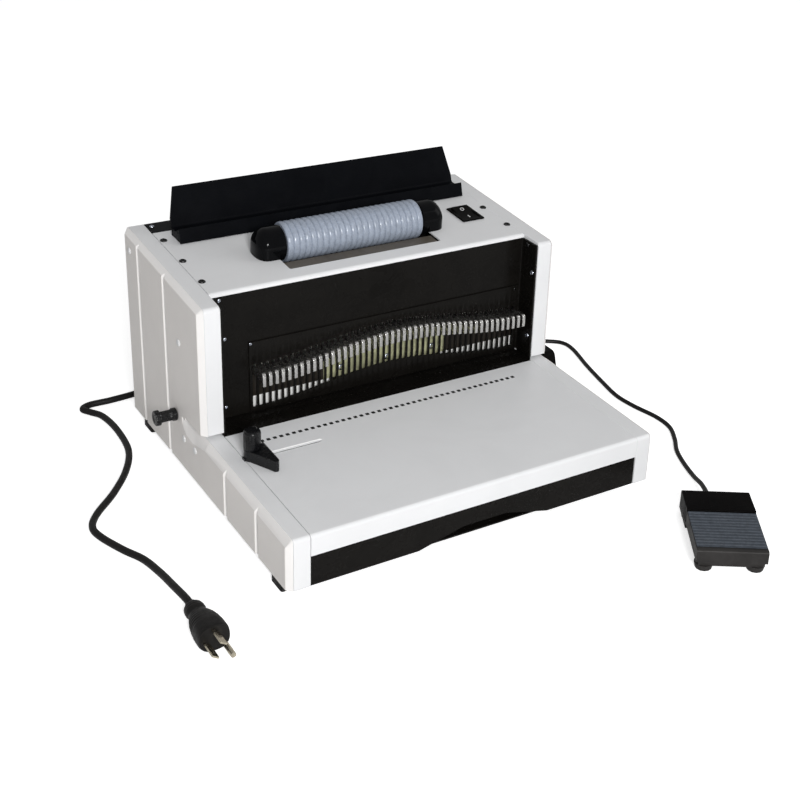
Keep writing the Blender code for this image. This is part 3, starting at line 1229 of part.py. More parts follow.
def gear_motor():
    """Gear motor on the base pan, its pulley and the belt to the cam shaft."""
    floor = BASE_Z + GAP * 2 + SHEET
    box_end = GEARBOX_X + GEARBOX_LENGTH
    motor = box("gear_motor", (GEARBOX_X, MOTOR_Y - GEARBOX_HALF, floor),
                (box_end, MOTOR_Y + GEARBOX_HALF, MOTOR_Z + GEARBOX_HALF), DARK_STEEL, MACHINE)
    bevel(motor, SHEET)
    can = rod("motor_can", MOTOR_RADIUS, (box_end - SHEET, MOTOR_Y, MOTOR_Z), box_end + MOTOR_LENGTH, "X", None,
              MACHINE, sides=24)
    unite(motor, can)
    width = PULLEY_WIDTH
    start = CAM_PULLEY_X
    profile = [(0, GEARBOX_X - GAP), (MOTOR_PULLEY_R * 0.6, GEARBOX_X - GAP), (MOTOR_PULLEY_R * 0.6, start + width),
               (MOTOR_PULLEY_R + PULLEY_RIM, start + width), (MOTOR_PULLEY_R + PULLEY_RIM, start + width * 0.88),
               (MOTOR_PULLEY_R, start + width * 0.88), (MOTOR_PULLEY_R, start + width * 0.12),
               (MOTOR_PULLEY_R + PULLEY_RIM, start + width * 0.12), (MOTOR_PULLEY_R + PULLEY_RIM, start), (0, start)]
    if GEARBOX_X - GAP - start - width < GAP:
        profile = profile[:2] + profile[3:]
    turned("motor_pulley", profile, "X", (0, MOTOR_Y, MOTOR_Z), DARK_STEEL, MACHINE, sides=12)
    inside = belt_loop((CAM_Y, CAM_Z), CAM_PULLEY_R + GAP, (MOTOR_Y, MOTOR_Z), MOTOR_PULLEY_R + GAP)
    outside = belt_loop((CAM_Y, CAM_Z), CAM_PULLEY_R + GAP + BELT_THICKNESS, (MOTOR_Y, MOTOR_Z),
                        MOTOR_PULLEY_R + GAP + BELT_THICKNESS)
    plate("punch_belt", outside, start + width * 0.2, start + width * 0.8, "X", BLACK_RUBBER, MACHINE, holes=[inside])


# Chip drawer

def chip_drawer():
    """Chip drawer under the die: an open box with a moulded black end outside the right cover."""
    right = HALF_WIDTH + COVER_THICKNESS + RUN_GAP
    made = box("chip_drawer", (DRAWER_LEFT_X, DRAWER_FRONT_Y, DRAWER_BOTTOM_Z), (right, DRAWER_BACK_Y, DRAWER_TOP_Z),
               BLACK_PLASTIC, MACHINE)
    wall = DRAWER_WALL
    cut(made, box("drawer_inside", (DRAWER_LEFT_X + wall, DRAWER_FRONT_Y + wall, DRAWER_BOTTOM_Z + wall),
                  (INNER_HALF - wall, DRAWER_BACK_Y - wall, DRAWER_TOP_Z + wall), None, MACHINE))
    front = DRAWER_FRONT_Y - DRAWER_FACE_MARGIN
    back = DRAWER_BACK_Y + DRAWER_FACE_MARGIN
    face = [(front, DRAWER_FACE_BOTTOM_Z), (back, DRAWER_FACE_BOTTOM_Z), (back, DRAWER_FACE_TOP_Z),
            (front + DRAWER_FACE_LEAN, DRAWER_FACE_TOP_Z), (front, DRAWER_FACE_KNEE_Z)]
    rounded = filleted(face, (DRAWER_FACE_R / 2, DRAWER_FACE_R / 2, DRAWER_FACE_R, DRAWER_FACE_R * 0.75,
                              DRAWER_FACE_R), steps=5)
    unite(made, plate("drawer_face", rounded, right - GAP, right + DRAWER_FACE_THICKNESS, "X", None, MACHINE))
    middle = DRAWER_BOTTOM_Z + DRAWER_PULL_RISE
    grip = rectangle(DRAWER_FRONT_Y + wall * 3, middle - DRAWER_PULL_HEIGHT, DRAWER_BACK_Y - wall * 3, middle)
    cut(made, plate("drawer_grip", filleted(grip, (DRAWER_FACE_R / 3,) * 4), right + DRAWER_FACE_THICKNESS
                    - DRAWER_PULL_DEPTH, right + DRAWER_FACE_THICKNESS * 2, "X", None, MACHINE))


# Controls

def depth_knob():
    """Depth knob on the left side, waisted like a spool, with its shaft through cover and frame."""
    face = -HALF_WIDTH - COVER_THICKNESS - RUN_GAP
    out = face - KNOB_LENGTH
    inner_end = face + KNOB_SHAFT_LENGTH
    rim = KNOB_FLANGE
    soft = rim / 4
    profile = [(0, inner_end), (KNOB_SHAFT_R, inner_end), (KNOB_SHAFT_R, face), (KNOB_INNER_R - soft, face),
               (KNOB_INNER_R, face - soft), (KNOB_INNER_R, face - rim * 0.8), (KNOB_WAIST_R, face - rim * 1.2),
               (KNOB_WAIST_R, out + rim * 1.3), (KNOB_R, out + rim), (KNOB_R, out + soft), (KNOB_R - soft, out),
               (0, out)]
    turned("depth_knob", profile, "X", (0, KNOB_Y, KNOB_Z), BLACK_PLASTIC, MACHINE, sides=16)


def edge_guide():
    """Edge guide: a boss under the knob, a tapering arm with a straight fence, and a foot in the track."""
    guide_frame = frame_empty("guide_frame", MACHINE, (0, 0, TABLE_BACK_Z), (TABLE_SLOPE, 0, 0))
    knob = (GUIDE_KNOB_X, TRACK_Y)
    boss = arc(*knob, GUIDE_BOSS_R, math.radians(15), math.radians(235), 9)
    tip = arc(GUIDE_FENCE_X - GUIDE_TIP_R, GUIDE_TIP_Y + GUIDE_TIP_R, GUIDE_TIP_R, math.radians(225),
              math.radians(360), 5)
    outline = boss + tip + [(GUIDE_FENCE_X, TRACK_Y + GUIDE_BOSS_R * 0.7)]
    made = plate("edge_guide", outline, GAP, GUIDE_HEIGHT, "Z", BLACK_PLASTIC, guide_frame)
    heel = rectangle(GUIDE_HEEL_X, TRACK_Y - GUIDE_BOSS_R / 3, GUIDE_KNOB_X, TRACK_Y + GUIDE_BOSS_R / 3)
    unite(made, plate("guide_heel", heel, GAP, GUIDE_HEIGHT / 4, "Z", None, guide_frame))
    key = rectangle(GUIDE_KNOB_X - GUIDE_SHANK_R, TRACK_Y - GUIDE_SHANK_R, GUIDE_KNOB_X + GUIDE_BOSS_R,
                    TRACK_Y + GUIDE_SHANK_R)
    unite(made, plate("guide_key", key, -SHEET - GAP, GUIDE_HEIGHT / 4, "Z", None, guide_frame))
    knob_low = GUIDE_HEIGHT + GAP
    knob_high = knob_low + GUIDE_KNOB_HEIGHT
    soft = GUIDE_KNOB_R / 6
    profile = [(0, knob_high), (GUIDE_KNOB_R - soft, knob_high), (GUIDE_KNOB_R, knob_high - soft),
               (GUIDE_KNOB_R, knob_low + soft), (GUIDE_KNOB_R - soft / 2, knob_low), (0, knob_low)]
    turned("guide_knob", profile, "Z", (*knob, 0), BLACK_PLASTIC, guide_frame, sides=16)


# Foot pedal

def pedal_base():
    """Pedal base: a tray, narrower in front where the treadle's skirts hang outside it, with hinge ears."""
    half_x = PEDAL_HALF_X
    half_y = PEDAL_HALF_Y
    wall = PEDAL_WALL
    inset = TREAD_SIDE + TREAD_GAP
    step = half_y - PEDAL_HOOD_DEPTH
    outline = [(half_x - inset, -half_y + inset), (half_x - inset, step - GAP), (half_x, step), (half_x, half_y),
               (-half_x, half_y), (-half_x, step), (-half_x + inset, step - GAP), (-half_x + inset, -half_y + inset)]
    made = plate("pedal_base", outline, PEDAL_FLOOR, PEDAL_WALL_TOP, "Z", BLACK_PAINT, PEDAL)
    cut(made, box("pedal_inside", (-half_x + inset + wall, -half_y + inset + wall, PEDAL_FLOOR + wall),
                  (half_x - inset - wall, half_y - wall, PEDAL_WALL_TOP + wall), None, PEDAL))
    ears = []
    for side in (-1, 1):
        low, high = sorted((side * (half_x - inset - wall * 2.2), side * (half_x - inset - wall / 2)))
        ears.append(box("pedal_ear", (low, PEDAL_PIN_Y - PEDAL_PIN_R * 2, PEDAL_FLOOR + wall / 2),
                        (high, PEDAL_PIN_Y + PEDAL_PIN_R * 2, PEDAL_PIN_Z + PEDAL_PIN_R * 2), None, PEDAL))
    unite(made, *ears)
    unite(made, pedal_feet())
    cut(made, rod("pin_bore", PEDAL_PIN_R + GAP, (-half_x * 1.1, PEDAL_PIN_Y, PEDAL_PIN_Z), half_x * 1.1, "X", None,
                  PEDAL, sides=8))


def pedal_hood():
    """Rear hood of the pedal: a hollow wedge with its notched lower front corners."""
    rear = PEDAL_HALF_Y
    front = PEDAL_HALF_Y - PEDAL_HOOD_DEPTH
    low = PEDAL_WALL_TOP + GAP
    outline = [(front, low), (rear, low), (rear, PEDAL_REAR_TOP), (front, PEDAL_HOOD_FRONT_TOP)]
    made = plate("pedal_hood", filleted(outline, (0, 0, PEDAL_WALL, PEDAL_WALL / 2)), -PEDAL_HALF_X, PEDAL_HALF_X, "X",
                 BLACK_PAINT, PEDAL)
    wall = PEDAL_WALL
    inside = [(front - wall, low - wall), (rear - wall, low - wall), (rear - wall, PEDAL_REAR_TOP - wall),
              (front - wall, PEDAL_HOOD_FRONT_TOP - wall)]
    cut(made, plate("hood_inside", inside, -PEDAL_HALF_X + wall, PEDAL_HALF_X - wall, "X", None, PEDAL))
    notch = [(front - wall, low - wall), (front + NOTCH_SIDE, low - wall), (front - wall, low + NOTCH_SIDE * 1.4)]
    cut(made, plate("hood_notch", notch, -PEDAL_HALF_X * 1.2, PEDAL_HALF_X * 1.2, "X", None, PEDAL))
    cut(made, rod("inlet_bore", PEDAL_CORD_R * 1.4, (PEDAL_INLET_X, rear - wall * 2, PEDAL_INLET_Z), rear + wall,
                  "Y", None, PEDAL, sides=12))


def pedal_feet():
    """Guide shapes of the four round feet under the pedal's corners."""
    made = []
    for side in (-1, 1):
        for end in (-1, 1):
            place = (side * (PEDAL_HALF_X - PEDAL_FOOT_IN), end * (PEDAL_HALF_Y - PEDAL_FOOT_IN), 0)
            made.append(rod("foot", PEDAL_FOOT_R * 0.85, place, PEDAL_FLOOR + EDGE, "Z", None, PEDAL, sides=12,
                            end_radius=PEDAL_FOOT_R))
    return grouped("pedal_feet", made)


def treadle():
    """Treadle: a folded plate with skirts round the base that turns on a pin at its rear."""
    pivot = frame_empty("treadle_pivot", PEDAL, (0, PEDAL_PIN_Y, PEDAL_PIN_Z))
    front = -PEDAL_HALF_Y - PEDAL_PIN_Y
    rear = PEDAL_HALF_Y - PEDAL_HOOD_DEPTH - PEDAL_PIN_Y - RUN_GAP
    low = TREAD_SKIRT_BOTTOM - PEDAL_PIN_Z
    top_front = TREAD_FRONT_TOP - PEDAL_PIN_Z
    top_rear = TREAD_REAR_TOP - PEDAL_PIN_Z
    wall = TREAD_SIDE
    outline = [(front, low), (rear, low), (rear, top_rear), (front, top_front)]
    made = plate("treadle", filleted(outline, (0, 0, 0, wall)), -PEDAL_HALF_X, PEDAL_HALF_X, "X", BLACK_PAINT, pivot)
    inside = [(front + wall, low - wall), (rear + wall, low - wall), (rear + wall, top_rear - wall),
              (front + wall, top_front - wall)]
    cut(made, plate("treadle_inside", inside, -PEDAL_HALF_X + wall, PEDAL_HALF_X - wall, "X", None, pivot))
    boss = PEDAL_PIN_R * 2
    unite(made, box("treadle_boss", (-PEDAL_HALF_X / 2, -boss, -boss), (PEDAL_HALF_X / 2, boss, top_rear - wall / 2),
                    None, pivot))
    cut(made, rod("treadle_bore", PEDAL_PIN_R + GAP, (-PEDAL_HALF_X * 0.6, 0, 0), PEDAL_HALF_X * 0.6, "X", None, pivot,
                  sides=8))
    pin_reach = PEDAL_HALF_X - TREAD_SIDE - TREAD_GAP * 2
    rod("pedal_pin", PEDAL_PIN_R, (-pin_reach, PEDAL_PIN_Y, PEDAL_PIN_Z), pin_reach, "X", STEEL, PEDAL, sides=8)
    tread_mat(pivot, front, rear, top_front, top_rear)


def tread_mat(pivot, front, rear, top_front, top_rear):
    """Ribbed rubber mat on the treadle."""
    lean = math.atan2(top_rear - top_front, rear - front)
    plane = frame_empty("mat_frame", pivot, (0, front, top_front), (lean, 0, 0))
    start = MAT_MARGIN_FRONT
    end = math.hypot(rear - front, top_rear - top_front) - MAT_THICKNESS
    pitch = (end - start) / MAT_RIB_COUNT
    rib = MAT_THICKNESS / 2
    profile = [(end, GAP), (end, MAT_THICKNESS)]
    for k in range(MAT_RIB_COUNT):
        at = end - pitch * k
        profile += [(at - pitch * 0.35, MAT_THICKNESS), (at - pitch * 0.5, MAT_THICKNESS - rib),
                    (at - pitch * 0.85, MAT_THICKNESS - rib), (at - pitch, MAT_THICKNESS)]
    profile.append((start, GAP))
    plate("tread_mat", profile, -PEDAL_HALF_X + EDGE, PEDAL_HALF_X - EDGE, "X", TREAD_RUBBER, plane)


# Cords and plug

def smooth_route(route, step):
    """Points at even steps along a smooth curve through the route."""
    dense = []
    ends = [route[0] * 2 - route[1], *route, route[-1] * 2 - route[-2]]
    for a, b, c, d in zip(ends, ends[1:], ends[2:], ends[3:]):
        for k in range(24):
            t = k / 24
            dense.append(0.5 * ((2 * b) + (c - a) * t + (2 * a - 5 * b + 4 * c - d) * t ** 2
                                + (3 * b - a - 3 * c + d) * t ** 3))
    dense.append(route[-1])
    lengths = [0.0]
    for a, b in zip(dense, dense[1:]):
        lengths.append(lengths[-1] + (b - a).length)
    count = max(2, round(lengths[-1] / step))
    out = []
    index = 0
    for k in range(count + 1):
        wanted = lengths[-1] * k / count
        while index < len(lengths) - 2 and lengths[index + 1] < wanted:
            index += 1
        share = (wanted - lengths[index]) / (lengths[index + 1] - lengths[index])
        out.append(dense[index].lerp(dense[index + 1], share))
    print(f"cord length {lengths[-1]:.3f} m, {len(out)} points")
    return out


def cord(name, route, radius, parent):
    """A cord as a round tube along a smooth curve through its route."""
    curve = bpy.data.curves.new(name, "CURVE")
    curve.dimensions = "3D"
    curve.bevel_depth = radius
    curve.bevel_resolution = 2
    curve.use_fill_caps = True
    places = [Vector(point) for point in route]
    points = smooth_route(places, radius * 2 * CORD_STEP_DIAMETERS)
    points.insert(1, points[0] + (places[1] - places[0]).normalized() * radius)
    points.insert(-1, points[-1] + (places[-2] - places[-1]).normalized() * radius)
    spline = curve.splines.new("POLY")
    spline.points.add(len(points) - 1)
    for spot, point in zip(spline.points, points):
        spot.co = (*point, 1)
    made = bpy.data.objects.new(name, curve)
    PARTS.objects.link(made)
    made.parent = parent
    curve.materials.append(material(name, BLACK_RUBBER))
    return made


MAINS_ROUTE = (
    (GROMMET_X, HEAD_BACK_Y + GROMMET_LENGTH + GAP, GROMMET_Z), (-0.1280, 0.2160, 0.0360), (-0.1305, 0.2245, 0.0295),
    (-0.1380, 0.2300, 0.0175), (-0.1520, 0.2310, 0.0075), (-0.1700, 0.2285, 0.0037), (-0.2000, 0.2255, 0.0035),
    (-0.2235, 0.2255, 0.0035), (-0.2325, 0.2195, 0.0035), (-0.2275, 0.2100, 0.0035), (-0.2195, 0.1960, 0.0035),
    (-0.2160, 0.1639, 0.0035), (-0.2195, 0.1206, 0.0035), (-0.2343, 0.0853, 0.0035), (-0.2575, 0.0526, 0.0035),
    (-0.2825, 0.0255, 0.0035), (-0.2925, 0.0075, 0.0035), (-0.2915, -0.0100, 0.0035), (-0.2810, -0.0389, 0.0036),
    (-0.2710, -0.0615, 0.0042), (-0.2665, -0.0900, 0.0065), (-0.2652, -0.1180, 0.0102), (-0.2640, -0.1390, 0.0124),
    (PLUG_X, PLUG_NECK_Y + GAP, PLUG_Z))

PEDAL_ROUTE = (
    (PEDAL_GROMMET_X, HEAD_BACK_Y + PEDAL_GROMMET_LENGTH + GAP, PEDAL_GROMMET_Z), (0.1480, 0.2130, 0.0360),
    (0.1495, 0.2195, 0.0310), (0.1550, 0.2235, 0.0195), (0.1690, 0.2220, 0.0075), (0.1930, 0.2065, 0.0027),
    (0.2300, 0.1740, 0.0025), (0.2640, 0.1480, 0.0025), (0.2900, 0.1340, 0.0025), (0.3030, 0.1220, 0.0025),
    (0.3035, 0.1020, 0.0025), (0.2930, 0.0619, 0.0025), (0.2842, 0.0216, 0.0025), (0.2785, -0.0114, 0.0025),
    (0.2805, -0.0386, 0.0025), (0.2865, -0.0686, 0.0025), (0.2850, -0.0924, 0.0025), (0.2738, -0.1141, 0.0025),
    (0.2600, -0.1340, 0.0025), (0.2500, -0.1563, 0.0028), (0.2395, -0.1830, 0.0052), (0.2300, -0.2050, 0.0105))


def pedal_point(x, y, z):
    """A point of the pedal's own frame, in the machine frame."""
    turned_point = Matrix.Rotation(PEDAL_TURN, 3, "Z") @ Vector((x, y, z))
    return tuple(turned_point + Vector((PEDAL_X, PEDAL_Y, 0)))


def cords():
    """Mains cord from its grommet to the plug, and pedal cord from its grommet to the pedal's hood."""
    cord("power_cord", MAINS_ROUTE, CORD_R, MACHINE)
    end = pedal_point(PEDAL_INLET_X, PEDAL_HALF_Y + GAP, PEDAL_INLET_Z)
    near = pedal_point(PEDAL_INLET_X, PEDAL_HALF_Y + PEDAL_WALL * 3, PEDAL_INLET_Z)
    cord("pedal_cord", (*PEDAL_ROUTE, near, end), PEDAL_CORD_R, MACHINE)


def grommets():
    """Tapered strain reliefs of both cords in the rear cover."""
    for name, x, z, radius, length, tip in (
            ("mains_grommet", GROMMET_X, GROMMET_Z, GROMMET_R, GROMMET_LENGTH, GROMMET_TIP_R),
            ("pedal_grommet", PEDAL_GROMMET_X, PEDAL_GROMMET_Z, PEDAL_GROMMET_R, PEDAL_GROMMET_LENGTH,
             PEDAL_GROMMET_TIP_R)):
        flange = SHEET
        neck = radius * 0.75
        profile = [(0, length), (tip, length), (neck, flange + GAP), (radius, flange + GAP), (radius, GAP),
                   (neck, GAP), (neck, -SHEET * 2), (0, -SHEET * 2)]
        turned(name, profile, "Y", (x, HEAD_BACK_Y, z), BLACK_RUBBER, MACHINE, sides=12)


def plug():
    """Moulded three-pin plug: collar, waist and rounded body as a loft, with blades and earth pin."""
    frame = frame_empty("plug_frame", MACHINE, (PLUG_X, PLUG_NECK_Y, PLUG_Z), (math.radians(90), 0, 0))
    ring_shares = ((0, 0.36), (0.10, 0.40), (0.14, 0.60), (0.24, 0.66), (0.30, 0.58), (0.34, 0.64), (0.50, 0.84),
                   (0.72, 0.98), (0.90, 1.0), (1.0, 0.93))
    length = PLUG_BODY_LENGTH
    radius = PLUG_RADIUS
    sides = 16
    rings = []
    for along, width in ring_shares:
        ring = []
        for k in range(sides):
            angle = 2 * math.pi * k / sides
            flat = PLUG_FLATTENING + (1 - PLUG_FLATTENING) * abs(math.cos(angle))
            ring.append((radius * width * math.cos(angle), radius * width * flat * math.sin(angle), along * length))
        rings.append(ring)
    body = loft("plug_body", rings, BLACK_RUBBER, frame)
    smooth(body)
    roll = Matrix.Rotation(PLUG_ROLL, 4, "Z")
    start = length + GAP
    for side, name in ((-1, "plug_blade_left"), (1, "plug_blade_right")):
        across = side * BLADE_HALF_SPACING
        low = (-BLADE_SHIFT - BLADE_WIDTH / 2, across - BLADE_THICKNESS / 2, start)
        high = (-BLADE_SHIFT + BLADE_WIDTH / 2, across + BLADE_THICKNESS / 2, start + BLADE_LENGTH)
        blade = box(name, low, high, BRASS, frame)
        blade.matrix_basis = roll @ blade.matrix_basis
    earth = rod("plug_earth_pin", EARTH_RADIUS, (EARTH_OFFSET - BLADE_SHIFT, 0, start), start + EARTH_LENGTH, "Z",
                BRASS, frame, sides=12)
    earth.matrix_basis = roll @ earth.matrix_basis


# Assembly

def stand_on_origin():
    """Move the assembly so that the origin lies at the bottom centre of the machine and pedal."""
    bpy.context.view_layer.update()
    graph = bpy.context.evaluated_depsgraph_get()
    low = Vector((math.inf,) * 3)
    high = -low
    for made in PARTS.objects:
        if made.type == "EMPTY" or made.name in CORD_NODES:
            continue
        evaluated = made.evaluated_get(graph)
        mesh = evaluated.to_mesh()
        for vertex in mesh.vertices:
            point = evaluated.matrix_world @ vertex.co
            low = Vector(map(min, low, point))
            high = Vector(map(max, high, point))
        evaluated.to_mesh_clear()
    MACHINE.location = (-(low.x + high.x) / 2, -(low.y + high.y) / 2, -low.z)
    bpy.context.view_layer.update()
    print("machine frame moved by", [round(value, 6) for value in MACHINE.location])
    print("size", [round(value, 4) for value in high - low])


CORD_NODES = ("power_cord", "pedal_cord", "plug_body", "plug_blade_left", "plug_blade_right", "plug_earth_pin")

clear_scene()
PARTS = new_collection("coil_binding_machine")
CUTTERS = new_collection("cutters")
MACHINE = frame_empty("machine_frame")
TOP = frame_empty("top_frame", MACHINE, (0, 0, HEAD_FRONT_Z), (HEAD_SLOPE, 0, 0))
PEDAL = frame_empty("pedal_frame", MACHINE, (PEDAL_X, PEDAL_Y, 0), (0, 0, PEDAL_TURN))

side_frames()
side_covers()
base_pan()
table_top()
front_plinth()
rubber_feet()
top_cover()
rear_cover()
front_panel()
slot_guard()
coil_tray()
roller_trough()
roller_sleeve()
roller_core()
roller_caps()
roller_bushes()
inserter_drive()
power_switch()
lower_die()
upper_guide()
punch_ram()
retainer_plate()
end_tabs()
cam_drive()
chip_drawer()
depth_knob()
edge_guide()
pedal_base()
pedal_hood()
treadle()
grommets()
plug()
cords()
stand_on_origin()
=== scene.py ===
# %% [markdown]
# # Dressing a coil binding machine
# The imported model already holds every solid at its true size. This lesson gives those solids the look of the
# real machine: powder-coated sheet, moulded plastic, ribbed rubber, bright pull tabs and two cords on the table.
# Nothing here moves a solid. A piece either gets a better finish, or a finer surface stands in its place.

import json
import math

import bmesh
import bpy
import numpy as np
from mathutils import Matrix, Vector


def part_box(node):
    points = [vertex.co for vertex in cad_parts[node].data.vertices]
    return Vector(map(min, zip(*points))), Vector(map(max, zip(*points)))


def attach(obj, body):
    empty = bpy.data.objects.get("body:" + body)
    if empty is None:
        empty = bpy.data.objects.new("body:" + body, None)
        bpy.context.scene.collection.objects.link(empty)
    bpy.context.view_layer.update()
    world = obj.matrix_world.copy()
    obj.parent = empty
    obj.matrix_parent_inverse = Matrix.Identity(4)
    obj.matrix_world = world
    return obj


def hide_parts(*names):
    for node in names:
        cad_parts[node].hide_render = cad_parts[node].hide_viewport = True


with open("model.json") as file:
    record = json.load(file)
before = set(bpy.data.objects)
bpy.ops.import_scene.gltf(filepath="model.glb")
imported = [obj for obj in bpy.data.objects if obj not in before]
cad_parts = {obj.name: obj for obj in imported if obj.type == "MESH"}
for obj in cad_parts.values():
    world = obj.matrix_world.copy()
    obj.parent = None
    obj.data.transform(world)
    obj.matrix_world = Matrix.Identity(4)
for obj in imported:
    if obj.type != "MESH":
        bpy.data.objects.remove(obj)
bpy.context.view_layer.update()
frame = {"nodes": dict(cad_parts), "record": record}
nodes = frame["nodes"]
slot_of = {row["node"]: row["material_slot"] for row in frame["record"]["subparts"]}

# %% [markdown]
# ## Frames of reference
# A machine is easiest to describe in its own directions. The head's top slopes back, the table slopes forward and
# the pedal lies turned on the floor, so four small functions carry points from each of those frames to the model.

# %% Places on the machine
MACHINE_ORIGIN = np.array((-0.016697, 0.062053, 0.0))
HEAD_FRONT_Z = 0.1944
HEAD_BACK_Z = 0.2070
HEAD_BACK_Y = 0.1893
TABLE_FRONT_Y = -0.176
TABLE_FRONT_Z = 0.0625
TABLE_BACK_Z = 0.0658
PEDAL_ORIGIN = np.array((0.1925, -0.2762, 0.0))
PEDAL_TURN = math.radians(-32.0)
HEAD_SLOPE = math.atan2(HEAD_BACK_Z - HEAD_FRONT_Z, HEAD_BACK_Y)
TABLE_SLOPE = math.atan2(TABLE_BACK_Z - TABLE_FRONT_Z, -TABLE_FRONT_Y)


def on_machine(points):
    """Machine frame to model: add the place of the machine's own origin."""
    return np.asarray(points, float) + MACHINE_ORIGIN


def tilted(points, slope, height):
    """Lean a frame back by a slope: y = s cos - h sin, and z = height + s sin + h cos."""
    x, s, h = np.moveaxis(np.asarray(points, float), -1, 0)
    y = s * math.cos(slope) - h * math.sin(slope)
    z = height + s * math.sin(slope) + h * math.cos(slope)
    return on_machine(np.stack((x, y, z), -1))


def on_head(points):
    """Points given as x, distance up the head's top and height above it."""
    return tilted(points, HEAD_SLOPE, HEAD_FRONT_Z)


def on_table(points):
    """Points given as x, distance along the table and height above it."""
    return tilted(points, TABLE_SLOPE, TABLE_BACK_Z)


def on_pedal(points):
    """Pedal frame to model: turn about the upright through the pedal's middle, then add its place."""
    x, y, z = np.moveaxis(np.asarray(points, float), -1, 0)
    c, s = math.cos(PEDAL_TURN), math.sin(PEDAL_TURN)
    return on_machine(np.stack((x * c - y * s, x * s + y * c, z), -1) + PEDAL_ORIGIN)


print("head slopes", round(math.degrees(HEAD_SLOPE), 2), "table slopes", round(math.degrees(TABLE_SLOPE), 2))

# %% [markdown]
# ## Camera
# The photograph was taken from the front left, a little above the machine. The lens and the small shifts were
# worked out from the machine's straight edges and the row of holes, whose pitch is known.

# %% Camera
CAMERA_PLACE = (-0.604687, -0.965847, 0.699120)
CAMERA_TURN = (66.1197, -2.5067, -32.2157)
LENS_MM, SENSOR_MM = 62.152, 36.0
SHIFT_X, SHIFT_Y = -0.08522, -0.13120
NEAREST = 0.05
camera_data = bpy.data.cameras.new("camera")
camera_data.lens = LENS_MM
camera_data.sensor_width = SENSOR_MM
camera_data.shift_x = SHIFT_X
camera_data.shift_y = SHIFT_Y
camera_data.clip_start = NEAREST
camera = bpy.data.objects.new("camera", camera_data)
camera.location = CAMERA_PLACE
camera.rotation_euler = [math.radians(angle) for angle in CAMERA_TURN]
bpy.context.scene.collection.objects.link(camera)
bpy.context.scene.camera = camera
print("camera", [round(v, 3) for v in camera.location])

# %% [markdown]
# ## Materials from small, named parts
# Every finish is a Principled shader fed by a few shared effects. Each effect is a node group with named inputs,
# built once. The same trees could be wired by hand in the Shader Editor, but short helpers make forty nodes read
# like a list: one makes a node and fills its sockets, one does arithmetic, one makes a group with its interface.

# %% Nodes and arithmetic
def feed(tree, socket, value):
    """Link an output to a socket, or put a plain value on the socket itself."""
    if isinstance(value, bpy.types.NodeSocket):
        tree.links.new(value, socket)
    else:
        socket.default_value = value


def add_node(tree, kind, settings=None, **values):
    """One node: its settings first, then each socket value or link by the socket's name."""
    made = tree.nodes.new(kind)
    for key, value in (settings or {}).items():
        setattr(made, key, value)
    for key, value in values.items():
        name = key.replace("_", " ")
        feed(tree, next(s for s in made.inputs if s.name in (name, name.title())), value)
    return made


def math_node(tree, operation, first, second=0.0, third=0.0, clamp=False):
    """One Math node; numbers go on the sockets, outputs are linked."""
    made = tree.nodes.new("ShaderNodeMath")
    made.operation = operation
    made.use_clamp = clamp
    for socket, value in zip(made.inputs, (first, second, third)):
        feed(tree, socket, value)
    return made.outputs[0]


print("node and arithmetic helpers ready")

# %% Ramps, mixes and groups
def ramp(tree, value, low, high, bottom=0.0, top=1.0):
    """A value between two limits, spread smoothly from bottom to top."""
    made = tree.nodes.new("ShaderNodeMapRange")
    made.interpolation_type = "SMOOTHSTEP"
    names = ("Value", "From Min", "From Max", "To Min", "To Max")
    for name, number in zip(names, (value, low, high, bottom, top)):
        feed(tree, made.inputs[name], number)
    return made.outputs["Result"]


def blend_colour(tree, share, first, second):
    """Mix two colours by a share from 0 to 1."""
    made = tree.nodes.new("ShaderNodeMix")
    made.data_type = "RGBA"
    for name, value in (("Factor_Float", share), ("A_Color", first), ("B_Color", second)):
        colour = (*value, 1.0) if isinstance(value, tuple) else value
        feed(tree, next(s for s in made.inputs if s.identifier == name), colour)
    return next(s for s in made.outputs if s.identifier == "Result_Color")


def effect(name, inputs, outputs):
    """A node group with named float inputs (position is a vector) and named outputs."""
    tree = bpy.data.node_groups.new(name, "ShaderNodeTree")
    tree.interface.new_socket("Position", in_out="INPUT", socket_type="NodeSocketVector")
    for key, value in inputs.items():
        tree.interface.new_socket(key, in_out="INPUT", socket_type="NodeSocketFloat").default_value = value
    for key in outputs:
        tree.interface.new_socket(key, in_out="OUTPUT", socket_type="NodeSocketFloat")
    start = tree.nodes.new("NodeGroupInput")
    end = tree.nodes.new("NodeGroupOutput")
    return tree, start.outputs, end.inputs


print("helpers", [f.__name__ for f in (add_node, math_node, ramp, blend_colour, effect)])

# %% [markdown]
# ### Shared effects
# Powder coat is a fine pebble. Handled sheet carries soft smudges that change only its gloss. Edges lose a little
# paint where things rub: the Bevel node rounds the normal near an edge, and where it differs from the true
# normal an edge is near. Brushed metal is noise drawn out in one direction, and dust lies on what faces up.
# Painted textures could hold all this, but noise in the model's own coordinates needs no unwrapping and no files.

# %% Pebble and smudges
PEBBLE_ROUGHNESS, CELL_ROUNDING, CELL_DEPTH = 0.5, 0.6, 0.6
CLOUD_RANGE = (0.36, 0.68)
pebble, start, end = effect("Pebble", {"Size": 0.001}, ["Height"])
density = math_node(pebble, "DIVIDE", 1.0, start["Size"])
fine = add_node(pebble, "ShaderNodeTexNoise", Vector=start["Position"], Scale=density, Detail=2.0,
                Roughness=PEBBLE_ROUGHNESS)
cells = add_node(pebble, "ShaderNodeTexVoronoi", {"feature": "SMOOTH_F1"}, Vector=start["Position"],
                 Scale=density, Smoothness=CELL_ROUNDING)
pebble.links.new(math_node(pebble, "MULTIPLY_ADD", cells.outputs["Distance"], -CELL_DEPTH, fine.outputs["Fac"]),
                 end["Height"])

